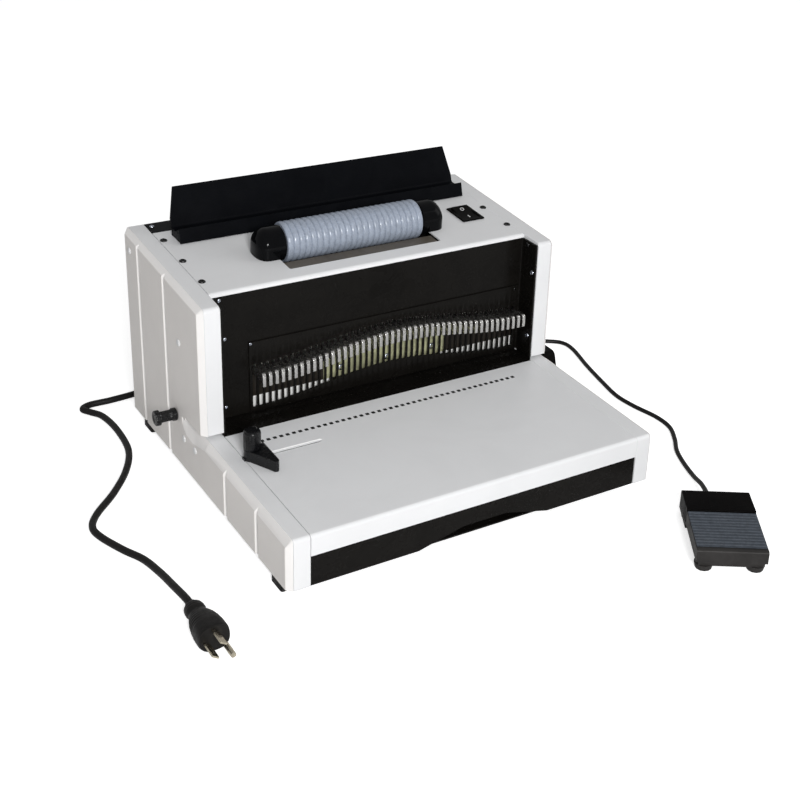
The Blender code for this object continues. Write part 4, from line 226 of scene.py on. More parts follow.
smudge, start, end = effect("Smudges", {"Size": 0.04}, ["Amount"])
density = math_node(smudge, "DIVIDE", 1.0, start["Size"])
cloud = add_node(smudge, "ShaderNodeTexNoise", Vector=start["Position"], Scale=density, Detail=6.0,
                 Roughness=0.62, Distortion=0.9)
smudge.links.new(ramp(smudge, cloud.outputs["Fac"], *CLOUD_RANGE), end["Amount"])
print("pebble", len(pebble.nodes), "nodes, smudges", len(smudge.nodes))

# %% Edge wear
EDGE_MATCH = (0.995, 0.82)
RUBBED_RANGE = (0.46, 0.62)
RUBBED_SCALE = 160.0
wear, start, end = effect("Edge wear", {"Radius": 0.0008, "Amount": 1.0}, ["Mask"])
round_normal = add_node(wear, "ShaderNodeBevel", {"samples": 6}, Radius=start["Radius"])
true_normal = wear.nodes.new("ShaderNodeNewGeometry")
match = wear.nodes.new("ShaderNodeVectorMath")
match.operation = "DOT_PRODUCT"
wear.links.new(round_normal.outputs["Normal"], match.inputs[0])
wear.links.new(true_normal.outputs["Normal"], match.inputs[1])
near_edge = ramp(wear, match.outputs["Value"], *EDGE_MATCH)
patches = add_node(wear, "ShaderNodeTexNoise", Vector=start["Position"], Scale=RUBBED_SCALE, Detail=4.0,
                   Roughness=0.7)
rubbed = ramp(wear, patches.outputs["Fac"], *RUBBED_RANGE)
wear.links.new(math_node(wear, "MULTIPLY", math_node(wear, "MULTIPLY", near_edge, rubbed), start["Amount"],
                         clamp=True), end["Mask"])
print("edge wear", len(wear.nodes), "nodes")

# %% Brushed metal
brushing, start, end = effect("Brushing", {"Width": 0.0003, "Stretch": 40.0}, ["Lines"])
density = math_node(brushing, "DIVIDE", 1.0, start["Width"])
drawn = math_node(brushing, "DIVIDE", density, start["Stretch"])
spread = brushing.nodes.new("ShaderNodeCombineXYZ")
for socket, value in zip(spread.inputs, (drawn, density, density)):
    brushing.links.new(value, socket)
scaled = brushing.nodes.new("ShaderNodeVectorMath")
scaled.operation = "MULTIPLY"
brushing.links.new(start["Position"], scaled.inputs[0])
brushing.links.new(spread.outputs[0], scaled.inputs[1])
lines = add_node(brushing, "ShaderNodeTexNoise", Vector=scaled.outputs[0], Scale=1.0, Detail=3.0, Roughness=0.6)
brushing.links.new(lines.outputs["Fac"], end["Lines"])
print("brushing", len(brushing.nodes), "nodes")

# %% Dust
GRAIN_SCALE, GRAIN_RANGE = 900.0, (0.52, 0.66)
DRIFT_SCALE, DRIFT_RANGE = 28.0, (0.4, 0.65)
UPWARD_RANGE = (0.35, 0.95)
dust, start, end = effect("Dust", {"Amount": 0.3}, ["Mask"])
facing = dust.nodes.new("ShaderNodeSeparateXYZ")
dust.links.new(dust.nodes.new("ShaderNodeNewGeometry").outputs["Normal"], facing.inputs[0])
upward = ramp(dust, facing.outputs["Z"], *UPWARD_RANGE)
grains = add_node(dust, "ShaderNodeTexNoise", Vector=start["Position"], Scale=GRAIN_SCALE, Detail=3.0, Roughness=0.8)
drift = add_node(dust, "ShaderNodeTexNoise", Vector=start["Position"], Scale=DRIFT_SCALE, Detail=4.0, Roughness=0.6)
settled = math_node(dust, "MULTIPLY", ramp(dust, grains.outputs["Fac"], *GRAIN_RANGE),
                    ramp(dust, drift.outputs["Fac"], *DRIFT_RANGE))
dust.links.new(math_node(dust, "MULTIPLY", math_node(dust, "MULTIPLY", upward, settled), start["Amount"],
                         clamp=True), end["Mask"])
print("effects", [group.name for group in bpy.data.node_groups])

# %% [markdown]
# ### One recipe for paint, plastic and metal
# Most finishes differ only in numbers: colour, gloss, the size and depth of the grain, how strongly smudges show
# and what is under the paint at a worn edge. One function builds them all, so that they stay alike in kind.

# %% The recipe
FINISHES = {}
BRUSHED_DARK, BRUSHED_SWING = 0.82, 0.18
DUST_COLOUR, DUST_ROUGHNESS = (0.42, 0.40, 0.37), 0.9


def place_effect(tree, group, position, **values):
    """A group node in a material, with its inputs set by name."""
    made = tree.nodes.new("ShaderNodeGroup")
    made.node_tree = group
    tree.links.new(position, made.inputs["Position"])
    for key, value in values.items():
        made.inputs[key.title()].default_value = value
    return made.outputs[0]


def finish(name, colour, gloss, grain=0.0008, depth=0.00001, smudges=0.08, worn=None, wear_radius=0.0006,
           wear_share=0.6, metallic=0.0, brushed=0.0, dusty=0.0, specular=0.5, mottle=0.04, mottle_size=0.03,
           ends=None):
    """A Principled material: colour and gloss varied by mottling and smudges, worn edges, dust and a fine bump.
    With ends, what lies farther along x than a half from a middle gets a colour of its own, a painted shade."""
    made = bpy.data.materials.new(name)
    made.use_nodes = True
    tree = made.node_tree
    shader = tree.nodes["Principled BSDF"]
    position = tree.nodes.new("ShaderNodeTexCoord").outputs["Object"]
    patch = place_effect(tree, smudge, position, size=mottle_size)
    shade = blend_colour(tree, patch, colour, tuple(v * (1 - mottle) for v in colour))
    gloss_patch = place_effect(tree, smudge, position, size=mottle_size * 0.6)
    roughness = math_node(tree, "MULTIPLY_ADD", gloss_patch, smudges, gloss - smudges / 2, clamp=True)
    height = place_effect(tree, pebble, position, size=grain)
    if brushed:
        height = place_effect(tree, brushing, position, stretch=brushed)
        shade = blend_colour(tree, height, tuple(v * BRUSHED_DARK for v in colour), colour)
        roughness = math_node(tree, "MULTIPLY_ADD", height, BRUSHED_SWING, gloss - BRUSHED_SWING / 2, clamp=True)
    if dusty:
        fallen = place_effect(tree, dust, position, amount=dusty)
        shade = blend_colour(tree, fallen, shade, DUST_COLOUR)
        roughness = math_node(tree, "MAXIMUM", roughness, math_node(tree, "MULTIPLY", fallen, DUST_ROUGHNESS))
    # painted shade: past a half from the middle in x, the colour turns to a darker, mottled one
    if ends:
        middle, half, plain = ends
        x = add_node(tree, "ShaderNodeSeparateXYZ", Vector=position).outputs["X"]
        away = math_node(tree, "ABSOLUTE", math_node(tree, "SUBTRACT", x, middle + MACHINE_ORIGIN[0]))
        painted_shade = blend_colour(tree, patch, plain, tuple(v * (1 - mottle) for v in plain))
        shade = blend_colour(tree, math_node(tree, "GREATER_THAN", away, half), shade, painted_shade)
    if worn:
        rubbed_edge = place_effect(tree, wear, position, radius=wear_radius, amount=wear_share)
        shade = blend_colour(tree, rubbed_edge, shade, worn)
    tree.links.new(shade, shader.inputs["Base Color"])
    tree.links.new(roughness, shader.inputs["Roughness"])
    shader.inputs["Metallic"].default_value = metallic
    shader.inputs["Specular IOR Level"].default_value = specular
    bump = add_node(tree, "ShaderNodeBump", Strength=1.0, Distance=depth, Height=height)
    tree.links.new(bump.outputs["Normal"], shader.inputs["Normal"])
    FINISHES[name] = made
    return made


print("finishes yet", len(FINISHES))

# %% [markdown]
# ### The finishes of this machine
# Sheet steel is powder coated light grey, the outer side covers are moulded in a warmer grey with a finer grain,
# and the recessed front, the tray and the pedal are black. The roller's sleeve is soft blue-grey rubber. The side
# covers' chamfers and grooves shine brighter than their flat faces, so their tone is painted bright and the flat
# outside gets a darker tone by its x: painted light and shade on one moulding.

# %% Paints
COVER_OUTSIDE = 0.1897
SKIN = 0.0003
finish("white_paint", (0.775, 0.78, 0.79), 0.42, grain=0.0007, depth=0.000012, smudges=0.12,
       worn=(0.62, 0.61, 0.60), wear_share=0.3, mottle=0.03, mottle_size=0.09, specular=0.35)
# side covers: a bright tone on chamfers and grooves, and beyond COVER_OUTSIDE - SKIN in x a darker painted shade
finish("side_paint", (0.95, 0.93, 0.915), 0.46, grain=0.0005, depth=0.000014, smudges=0.10, worn=(0.70, 0.67, 0.65),
       wear_share=0.3, mottle=0.03, mottle_size=0.07, specular=0.35,
       ends=(0, COVER_OUTSIDE - SKIN, (0.82, 0.79, 0.765)))
finish("black_paint", (0.0065, 0.0058, 0.0050), 0.30, grain=0.0006, depth=0.000006, smudges=0.16,
       worn=(0.035, 0.033, 0.030), wear_share=0.4, specular=0.10, mottle=0.25, mottle_size=0.03)
finish("tray_black", (0.0030, 0.0034, 0.0046), 0.42, grain=0.0005, depth=0.00001, smudges=0.14,
       worn=(0.022, 0.023, 0.026), wear_share=0.5, specular=0.05, mottle=0.25, mottle_size=0.04)
print("paints", len(FINISHES))

# %% Plastics and rubbers
finish("gloss_black", (0.0030, 0.0032, 0.0038), 0.12, grain=0.0012, depth=0.000003, smudges=0.06, specular=0.09,
       mottle=0.2, mottle_size=0.02)
finish("black_plastic", (0.0045, 0.0047, 0.0055), 0.28, grain=0.00035, depth=0.000012, smudges=0.12,
       worn=(0.025, 0.025, 0.027), wear_share=0.5, specular=0.32, mottle=0.2, mottle_size=0.015)
finish("pedal_black", (0.0036, 0.0032, 0.0032), 0.34, grain=0.0005, depth=0.000006, smudges=0.18,
       worn=(0.03, 0.028, 0.026), wear_share=0.5, specular=0.015, dusty=0.02, mottle=0.25, mottle_size=0.015)
finish("drawer_black", (0.0040, 0.0038, 0.0036), 0.40, grain=0.0004, depth=0.00001, smudges=0.14, specular=0.04,
       worn=(0.02, 0.02, 0.02), wear_share=0.5, mottle=0.25, mottle_size=0.015)
finish("treadle_grey", (0.034, 0.032, 0.031), 0.45, grain=0.0005, depth=0.00001, smudges=0.14,
       worn=(0.09, 0.08, 0.07), wear_share=0.6, specular=0.15, dusty=0.06, mottle=0.25, mottle_size=0.015)
finish("black_rubber", (0.0080, 0.0073, 0.0070), 0.45, grain=0.0004, depth=0.00002, smudges=0.16, specular=0.22,
       dusty=0.06, mottle=0.25, mottle_size=0.008)
finish("roller_rubber", (0.33, 0.375, 0.455), 0.30, grain=0.0009, depth=0.00003, smudges=0.20, specular=0.50,
       mottle=0.20, mottle_size=0.004)
finish("tread_rubber", (0.056, 0.067, 0.084), 0.50, grain=0.0005, depth=0.00002, smudges=0.15, specular=0.25,
       mottle=0.30, mottle_size=0.004, dusty=0.12, worn=(0.10, 0.115, 0.14), wear_radius=0.0003)
print("paints and plastics", len(FINISHES))

# %% Metals
finish("steel", (0.70, 0.70, 0.68), 0.32, metallic=1.0, brushed=30.0, depth=0.000003)
finish("chromed_steel", (0.80, 0.80, 0.79), 0.16, grain=0.002, depth=0.000003, metallic=1.0, smudges=0.1,
       mottle=0.12, mottle_size=0.008)
finish("tab_nickel", (0.70, 0.69, 0.67), 0.28, grain=0.002, depth=0.000003, metallic=1.0, smudges=0.1,
       mottle=0.15, mottle_size=0.006)
finish("guide_strip", (0.88, 0.88, 0.86), 0.45, grain=0.0006, depth=0.000004, mottle=0.05)
# zinc: beyond its middle in x the plate turns dark brown, a painted shadow where it lies in shade
finish("zinc", (0.62, 0.62, 0.38), 0.40, metallic=0.40, grain=0.0015, depth=0.000004, smudges=0.2, mottle=0.35,
       mottle_size=0.012, ends=(0.0142, 0.0685, (0.030, 0.024, 0.018)))
finish("dark_steel", (0.14, 0.135, 0.13), 0.40, metallic=0.9, brushed=12.0, depth=0.000004)
finish("trough_metal", (0.125, 0.108, 0.086), 0.42, metallic=0.25, grain=0.0007, depth=0.000008, smudges=0.15,
       mottle=0.25, worn=(0.35, 0.32, 0.28), wear_share=0.6)
finish("bronze", (0.45, 0.30, 0.15), 0.38, metallic=1.0, brushed=8.0, depth=0.000003)
finish("brass", (0.72, 0.66, 0.52), 0.22, metallic=1.0, grain=0.001, depth=0.000003, smudges=0.2, mottle=0.25,
       mottle_size=0.006)
finish("black_screw", (0.004, 0.004, 0.004), 0.22, grain=0.0008, depth=0.000004, specular=0.5,
       mottle=0.2, mottle_size=0.004)
finish("bright_screw", (0.55, 0.58, 0.64), 0.25, metallic=1.0, grain=0.0008, depth=0.000004, mottle=0.2,
       mottle_size=0.004)
print("with metals", len(FINISHES))

# %% Bead and marks
# painted_highlight_white, whiter than the table's paint, is a painted highlight for the track's lit rim
finish("painted_highlight_white", (0.93, 0.93, 0.93), 0.35, grain=0.0006, depth=0.000004)
finish("white_mark", (0.70, 0.70, 0.70), 0.45, grain=0.0006, depth=0.000004)
print("finishes", len(FINISHES))

# %% [markdown]
# ### The row of dots on the table
# A printed row of dots shows where the holes will fall. It is part of the table's paint: in the shader, the
# distance to the nearest point of a row at the punch's pitch is compared with a small square with round corners.
# A strip of thin geometry would do as well, but it would shimmer a hair above the sheet.

# %% The row as a node group
DOT_PITCH = 0.00635
DOT_FIRST_X = -0.1420 + MACHINE_ORIGIN[0]
DOT_LAST_X = 0.1305 + MACHINE_ORIGIN[0]
DOT_Y = -0.0222 + MACHINE_ORIGIN[1]
DOT_HALF = (0.0018, 0.0020)
DOT_CORNER = 0.0008
DOT_INK = (0.006, 0.006, 0.006)

dots, start, end = effect("Dot row", {"Corner": DOT_CORNER}, ["Ink"])
split = dots.nodes.new("ShaderNodeSeparateXYZ")
dots.links.new(start["Position"], split.inputs[0])
along = math_node(dots, "DIVIDE", math_node(dots, "SUBTRACT", split.outputs["X"], DOT_FIRST_X), DOT_PITCH)
offset = math_node(dots, "MULTIPLY", math_node(dots, "SUBTRACT", along, math_node(dots, "ROUND", along)), DOT_PITCH)
across = math_node(dots, "SUBTRACT", split.outputs["Y"], DOT_Y)
beyond = []
for side, half in ((offset, DOT_HALF[0]), (across, DOT_HALF[1])):
    core = math_node(dots, "SUBTRACT", half, start["Corner"])
    over = math_node(dots, "MAXIMUM", math_node(dots, "SUBTRACT", math_node(dots, "ABSOLUTE", side), core), 0.0)
    beyond.append(math_node(dots, "POWER", over, 2.0))
distance = math_node(dots, "SQRT", math_node(dots, "ADD", *beyond))
inked = math_node(dots, "LESS_THAN", distance, start["Corner"])
after_first = math_node(dots, "GREATER_THAN", split.outputs["X"], DOT_FIRST_X - DOT_PITCH / 2)
before_last = math_node(dots, "LESS_THAN", split.outputs["X"], DOT_LAST_X + DOT_PITCH / 2)
dots.links.new(math_node(dots, "MULTIPLY", inked, math_node(dots, "MULTIPLY", after_first, before_last)), end["Ink"])
print("dots", round((DOT_LAST_X - DOT_FIRST_X) / DOT_PITCH) + 1)

# %% Table paint
table_paint = finish("table_paint", (0.775, 0.78, 0.79), 0.42, grain=0.0007, depth=0.000012, smudges=0.14,
                     worn=(0.62, 0.61, 0.60), wear_share=0.3, mottle=0.03, mottle_size=0.09, specular=0.35)
tree = table_paint.node_tree
shader = tree.nodes["Principled BSDF"]
coordinates = next(n for n in tree.nodes if n.bl_idname == "ShaderNodeTexCoord").outputs["Object"]
painted = shader.inputs["Base Color"].links[0].from_socket
tree.links.new(blend_colour(tree, place_effect(tree, dots, coordinates), painted, DOT_INK),
               shader.inputs["Base Color"])
print("table paint", len(tree.nodes), "nodes")

# %% [markdown]
# ### Every solid gets its finish
# The record names a material slot for each node. The table below names the few nodes whose finish differs from
# the rest of their slot, such as the tray, which is duller than the other black sheet.

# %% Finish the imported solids
OWN_FINISH = {"table_top": "table_paint", "coil_tray": "tray_black", "left_roller_cap": "gloss_black",
              "right_roller_cap": "gloss_black", "pedal_hood": "pedal_black", "treadle": "treadle_grey",
              "pedal_base": "treadle_grey", "upper_guide": "guide_strip", "retainer_plate": "zinc",
              "lower_die": "black_paint", "chip_drawer": "drawer_black",
              "switch_bezel": "drawer_black", "power_rocker": "drawer_black", "rear_cover": "tray_black"}


def finish_of(node):
    """The material of a node: its own, or that of its slot."""
    return FINISHES[OWN_FINISH.get(node, slot_of[node])]


for name, solid in nodes.items():
    solid.data.materials.clear()
    solid.data.materials.append(finish_of(name))
print("finished", len(nodes), "solids")

# %% [markdown]
# ## Surfaces from arrays
# New pieces are grids of points worked out with numpy. A grid of rows and columns needs only its points and one
# array of quads. The doubles along seams and poles are merged, the normals turned outwards, and edges sharper
# than a set angle are marked, so that they stay crisp under smooth shading.

# %% Faces of a grid
def grid_faces(rows, columns, wrap_rows=False, wrap_columns=False):
    """Quads of a grid: each joins point (i, j) to its neighbours at i + 1 and j + 1, round the seam if wrapped."""
    i = np.arange(rows if wrap_rows else rows - 1)
    j = np.arange(columns if wrap_columns else columns - 1)
    i, j = (a.ravel() for a in np.meshgrid(i, j, indexing="ij"))
    below, beside = (i + 1) % rows, (j + 1) % columns
    return np.stack((i * columns + j, below * columns + j, below * columns + beside, i * columns + beside), -1)


def end_caps(rows, columns):
    """Two faces that close a wrapped grid: its first row taken backwards, and its last row."""
    last = (rows - 1) * columns
    return [list(range(columns - 1, -1, -1)), list(range(last, last + columns))]


def repeated(points, faces, places, caps=()):
    """One grid at many places: its points are moved, and its faces and caps are counted on."""
    flat = np.asarray(points).reshape(-1, 3)
    moved = flat[None] + np.asarray(places)[:, None]
    steps = np.arange(len(places)) * len(flat)
    more = (np.asarray(faces)[None] + steps[:, None, None]).reshape(-1, 4)
    return moved, more, [[index + step for index in cap] for step in steps for cap in caps]


print("grid of 3 by 4 has", len(grid_faces(3, 4)), "quads")

# %% One object from a grid
MERGE, THINNEST = 1e-6, 1e-7


def piece(name, points, faces, material, body, stands_for=(), crease=38, caps=()):
    """A mesh object in place: doubles merged, normals outwards, sharp edges marked, riding on its body."""
    mesh = bpy.data.meshes.new(name)
    mesh.from_pydata(np.asarray(points).reshape(-1, 3).tolist(), [], np.asarray(faces).tolist() + list(caps))
    build = bmesh.new()
    build.from_mesh(mesh)
    bmesh.ops.remove_doubles(build, verts=build.verts, dist=MERGE)
    bmesh.ops.dissolve_degenerate(build, edges=build.edges, dist=THINNEST)
    bmesh.ops.recalc_face_normals(build, faces=build.faces)
    limit = math.radians(crease)
    for face in build.faces:
        face.smooth = True
    for edge in build.edges:
        edge.smooth = len(edge.link_faces) != 2 or edge.calc_face_angle(0) < limit
    build.to_mesh(mesh)
    build.free()
    made = bpy.data.objects.new(name, mesh)
    bpy.context.scene.collection.objects.link(made)
    mesh.materials.append(FINISHES[material])
    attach(made, body)
    if stands_for:
        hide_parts(*stands_for)
    return made


print("a piece merges points closer than", MERGE * 1000, "mm")

# %% Curves at corners and round an axis
def eased(corners, reach, steps=4, closed=False):
    """Corners turned into short curves: each leaves its side a reach before the corner and joins the next one a
    reach after it, as a quadratic curve with the corner as its handle."""
    c = np.asarray(corners, float)
    before, after = np.roll(c, 1, 0) - c, np.roll(c, -1, 0) - c
    near = np.linalg.norm(before, axis=1, keepdims=True)
    far = np.linalg.norm(after, axis=1, keepdims=True)
    first = c + before / near * np.minimum(reach, near * 0.45)
    last = c + after / far * np.minimum(reach, far * 0.45)
    t = np.linspace(0, 1, steps + 1)[None, :, None]
    curves = (1 - t) ** 2 * first[:, None] + 2 * t * (1 - t) * c[:, None] + t ** 2 * last[:, None]
    if closed:
        return curves.reshape(-1, c.shape[1])
    return np.concatenate((c[:1], curves[1:-1].reshape(-1, c.shape[1]), c[-1:]))


def turned(profile, centre, axis, sides):
    """A profile of (along, radius) points carried round an axis: centre + along * axis + radius * (cos, sin)."""
    along, radius = np.asarray(profile, float).T
    axis = np.asarray(axis, float) / np.linalg.norm(axis)
    side = np.cross(axis, (0.0, 0.0, 1.0) if abs(axis[2]) < 0.9 else (1.0, 0.0, 0.0))
    side /= np.linalg.norm(side)
    up = np.cross(axis, side)
    angle = np.linspace(0, 2 * np.pi, sides, endpoint=False)
    round_it = np.cos(angle)[:, None] * side + np.sin(angle)[:, None] * up
    points = np.asarray(centre) + along[:, None, None] * axis + radius[:, None, None] * round_it
    return points, grid_faces(len(along), sides, wrap_columns=True)


print("a square with eased corners has", len(eased([(0, 0), (1, 0), (1, 1), (0, 1)], 0.1, closed=True)), "points")

# %% Slabs with rounded rims
def inward(outline, amount):
    """A closed outline moved in: each point goes along the sum of its sides' unit normals, divided by one plus
    their product, which keeps every side parallel to itself."""
    side = np.roll(outline, -1, 0) - outline
    side /= np.linalg.norm(side, axis=1, keepdims=True)
    normal = np.stack((-side[:, 1], side[:, 0]), 1)
    before = np.roll(normal, 1, 0)
    area = np.sum(outline[:, 0] * np.roll(outline[:, 1], -1) - outline[:, 1] * np.roll(outline[:, 0], -1))
    return outline + np.sign(area) * amount * (normal + before) / (1 + np.sum(normal * before, 1))[:, None]


def slab(outline, low, high, ease, axis, steps=3):
    """A closed outline carried along one axis, with rounded rims: at a rim the outline moves in by
    ease * (1 - sin a) while its place on the axis moves by ease * (1 - cos a)."""
    outline = np.asarray(outline, float)
    angle = np.linspace(0, np.pi / 2, steps + 1)
    inset = ease * (1 - np.sin(angle))
    rise = ease * (1 - np.cos(angle))
    rows = np.stack([inward(outline, amount) for amount in np.concatenate((inset, inset[::-1]))])
    place = np.concatenate((low + rise, high - rise[::-1]))
    columns = [rows[..., 0], rows[..., 1]]
    columns.insert(axis, np.broadcast_to(place[:, None], rows.shape[:2]))
    count = len(outline)
    faces = grid_faces(len(place), count, wrap_columns=True)
    return np.stack(columns, -1), faces, end_caps(len(place), count)


def rounded_box(left, low, right, high, radius, steps=4):
    """A rectangle with round corners, as a closed outline."""
    return eased([(left, low), (right, low), (right, high), (left, high)], radius, steps, closed=True)


print("a round box has", len(rounded_box(0, 0, 1, 1, 0.1)), "points")

# %% [markdown]
# ## Cords
# Both cords leave the back of the machine through grommets, drop to the floor and run in loose curves: the mains
# cord round the left side to its plug, the pedal cord round the right side to the pedal. Each is one curve through
# route points a cord's radius above the floor. A cloth or rope simulation could lay them down, but the photograph
# fixes their run, and a Catmull-Rom spline passes through every route point.

# %% Routes of the cords
CORD_RADIUS = 0.0033
PEDAL_CORD_RADIUS = 0.0023
MAINS_ROUTE = (
    (-0.1280, 0.2101, 0.0360), (-0.1280, 0.2160, 0.0360), (-0.1305, 0.2245, 0.0295), (-0.1380, 0.2300, 0.0175),
    (-0.1520, 0.2310, 0.0075), (-0.1700, 0.2285, 0.0037), (-0.2000, 0.2255, 0.0035), (-0.2235, 0.2255, 0.0035),
    (-0.2325, 0.2195, 0.0035), (-0.2275, 0.2100, 0.0035), (-0.2195, 0.1960, 0.0035), (-0.2160, 0.1639, 0.0035),
    (-0.2195, 0.1206, 0.0035), (-0.2343, 0.0853, 0.0035), (-0.2575, 0.0526, 0.0035), (-0.2825, 0.0255, 0.0035),
    (-0.2925, 0.0075, 0.0035), (-0.2915, -0.0100, 0.0035), (-0.2810, -0.0389, 0.0036), (-0.2710, -0.0615, 0.0042),
    (-0.2665, -0.0900, 0.0065), (-0.2652, -0.1180, 0.0102), (-0.2640, -0.1390, 0.0124), (-0.2635, -0.1497, 0.0124))
PEDAL_ROUTE = (
    (0.1480, 0.2076, 0.0360), (0.1480, 0.2130, 0.0360), (0.1495, 0.2195, 0.0310), (0.1550, 0.2235, 0.0195),
    (0.1690, 0.2220, 0.0075), (0.1930, 0.2065, 0.0027), (0.2300, 0.1740, 0.0025), (0.2640, 0.1480, 0.0025),
    (0.2900, 0.1340, 0.0025), (0.3030, 0.1220, 0.0025), (0.3035, 0.1020, 0.0025), (0.2930, 0.0619, 0.0025),
    (0.2842, 0.0216, 0.0025), (0.2785, -0.0114, 0.0025), (0.2805, -0.0386, 0.0025), (0.2865, -0.0686, 0.0025),
    (0.2850, -0.0924, 0.0025), (0.2738, -0.1141, 0.0025), (0.2600, -0.1340, 0.0025), (0.2500, -0.1563, 0.0028),
    (0.2395, -0.1830, 0.0052), (0.2300, -0.2050, 0.0105))
PEDAL_INLET = ((-0.0048, 0.0549, 0.0145), (-0.0048, 0.0486, 0.0145))
mains_route = on_machine(MAINS_ROUTE)
pedal_route = np.concatenate((on_machine(PEDAL_ROUTE), on_pedal(PEDAL_INLET)))
print("route points", len(mains_route), "and", len(pedal_route))

# %% A cord through its route
def smooth_route(route, steps=10):
    """Catmull-Rom: between two points the curve leaves along the line that joins their neighbours."""
    p = np.concatenate((route[:1] * 2 - route[1:2], route, route[-1:] * 2 - route[-2:-1]))
    a, b, c, d = (p[k:len(p) - 3 + k, None] for k in range(4))
    t = np.linspace(0, 1, steps, endpoint=False)[None, :, None]
    curve = 0.5 * (2 * b + (c - a) * t + (2 * a - 5 * b + 4 * c - d) * t ** 2 + (3 * b - a - 3 * c + d) * t ** 3)
    return np.concatenate((curve.reshape(-1, 3), route[-1:]))


def cord_piece(name, route, radius, node):
    """A round cord: one open spline with a thickness, riding on the machine."""
    line = smooth_route(route)
    data = bpy.data.curves.new(name, "CURVE")
    data.dimensions = "3D"
    data.bevel_depth = radius
    data.bevel_resolution = 5
    data.use_fill_caps = True
    spline = data.splines.new("POLY")
    spline.points.add(len(line) - 1)
    spline.points.foreach_set("co", np.concatenate((line, np.ones((len(line), 1))), 1).ravel())
    data.materials.append(FINISHES["black_rubber"])
    made = bpy.data.objects.new(name, data)
    bpy.context.scene.collection.objects.link(made)
    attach(made, "machine")
    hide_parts(node)
    length = np.linalg.norm(np.diff(line, axis=0), axis=1).sum()
    print(name, "length", round(float(length), 3))
    return made, float(length)


mains_cord, mains_length = cord_piece("mains_lead", mains_route, CORD_RADIUS, "power_cord")
pedal_cord, pedal_length = cord_piece("pedal_lead", pedal_route, PEDAL_CORD_RADIUS, "pedal_cord")

# %% [markdown]
# ### The moulded plug
# The plug is one moulding: a thick collar where the cord goes in, a waist, and a body that widens to the pins with
# shallow finger ridges across its sides. Sculpting would do, but a formula keeps the ridges even: its outline is a
# radius for each place along it, its section a rounded square, and the ridges are a cosine taken off the radius.

# %% Plug outline
PLUG_X = -0.2635
PLUG_NECK_Y = -0.15
PLUG_Z = 0.0124
PLUG_LENGTH = 0.0495
PLUG_RADIUS = 0.0135
PLUG_SQUARENESS = 2.5
PLUG_FLATNESS = 0.9
RIDGE_DEPTH = 0.0007
RIDGES_START, RIDGES_END, RIDGE_PITCH = 0.38, 0.74, 0.062
COLLAR_START, COLLAR_END, RING_PITCH = 0.09, 0.25, 0.055
PLUG_ROWS, PLUG_SIDES = 90, 64
plug_shares = np.array(((0, 0.36), (0.05, 0.40), (0.08, 0.56), (0.12, 0.63), (0.21, 0.66), (0.25, 0.63), (0.29, 0.56),
                        (0.34, 0.63), (0.42, 0.75), (0.50, 0.85), (0.62, 0.93), (0.75, 0.985), (0.90, 1.0),
                        (0.97, 0.985), (1.0, 0.93)))
along = np.linspace(0, 1, PLUG_ROWS)
width = np.interp(along, plug_shares[:, 0], plug_shares[:, 1]) * PLUG_RADIUS
width = np.convolve(np.pad(width, 2, mode="edge"), np.ones(5) / 5, mode="valid")
ridged = np.clip((along - RIDGES_START) / 0.05, 0, 1) * np.clip((RIDGES_END - along) / 0.05, 0, 1)
collar = np.clip((along - COLLAR_START) / 0.03, 0, 1) * np.clip((COLLAR_END - along) / 0.03, 0, 1)
wave = 0.5 - 0.5 * np.cos(2 * np.pi * (along - RIDGES_START) / RIDGE_PITCH)
rings = 0.5 - 0.5 * np.cos(2 * np.pi * along / RING_PITCH)
print("plug from", round(width.min() * 2000, 1), "to", round(width.max() * 2000, 1), "mm wide")

# %% Plug surface
angle = np.linspace(0, 2 * np.pi, PLUG_SIDES, endpoint=False)
sides_only = np.abs(np.cos(angle)) ** 1.5
radius = (width - 0.4 * RIDGE_DEPTH * collar * rings)[:, None] - RIDGE_DEPTH * (ridged * wave)[:, None] * sides_only
square = np.clip((along - 0.3) / 0.3, 0, 1)[:, None]
power = 2 / (2 + square * (PLUG_SQUARENESS - 2))
section_x = np.sign(np.cos(angle)) * np.abs(np.cos(angle)) ** power
section_z = np.sign(np.sin(angle)) * np.abs(np.sin(angle)) ** power
plug_points = np.stack((PLUG_X + radius * section_x,
                        np.broadcast_to((PLUG_NECK_Y - along * PLUG_LENGTH)[:, None], radius.shape),
                        PLUG_Z + radius * section_z * PLUG_FLATNESS), -1)
plug = piece("plug_moulding", on_machine(plug_points), grid_faces(PLUG_ROWS, PLUG_SIDES, wrap_columns=True),
             "black_rubber", "machine", ["plug_body"], crease=50,
             caps=end_caps(PLUG_ROWS, PLUG_SIDES))
print("plug", len(plug.data.polygons), "faces")

# %% The cords are made
print("cords made")

# %% [markdown]
# ## Rounded edges on the sheet metal
# A real edge always catches a thin line of light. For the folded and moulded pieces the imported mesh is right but
# its edges are razor sharp, so a merged copy stands in: flat neighbours are joined, then every sharp edge is
# rounded by a Bevel. Weighted normals keep the large faces flat up to the edge. A Subdivision Surface would round
# the edges too, but it would pull the whole sheet out of shape.

# %% Take plain screw heads off
SCREW_LOW, SCREW_HIGH, SCREW_REACH = 0.0002, 0.003, 1.15


def shave(build, heads):
    """Take plain screw heads off a sheet: what stands proud near a screw's centre goes, and its hole is closed."""
    for centre, normal, radius in heads:
        gone = []
        for vertex in build.verts:
            offset = np.array(vertex.co) - centre
            height = offset @ normal
            if SCREW_LOW < height < SCREW_HIGH and np.linalg.norm(offset - height * normal) < radius * SCREW_REACH:
                gone.append(vertex)
        bmesh.ops.delete(build, geom=gone, context="VERTS")
    rim = [edge for edge in build.edges if edge.is_boundary]
    if rim:
        bmesh.ops.edgeloop_fill(build, edges=rim)


print("a screw head is sought up to", SCREW_HIGH * 1000, "mm above its sheet")

# %% A copy with rounded edges
CAD_MERGE = 2e-6
FLAT_WITHIN = math.radians(0.4)
SHARP_BEYOND = math.radians(32)
ROUNDING_STEPS = 3
FACE_WEIGHT = 90


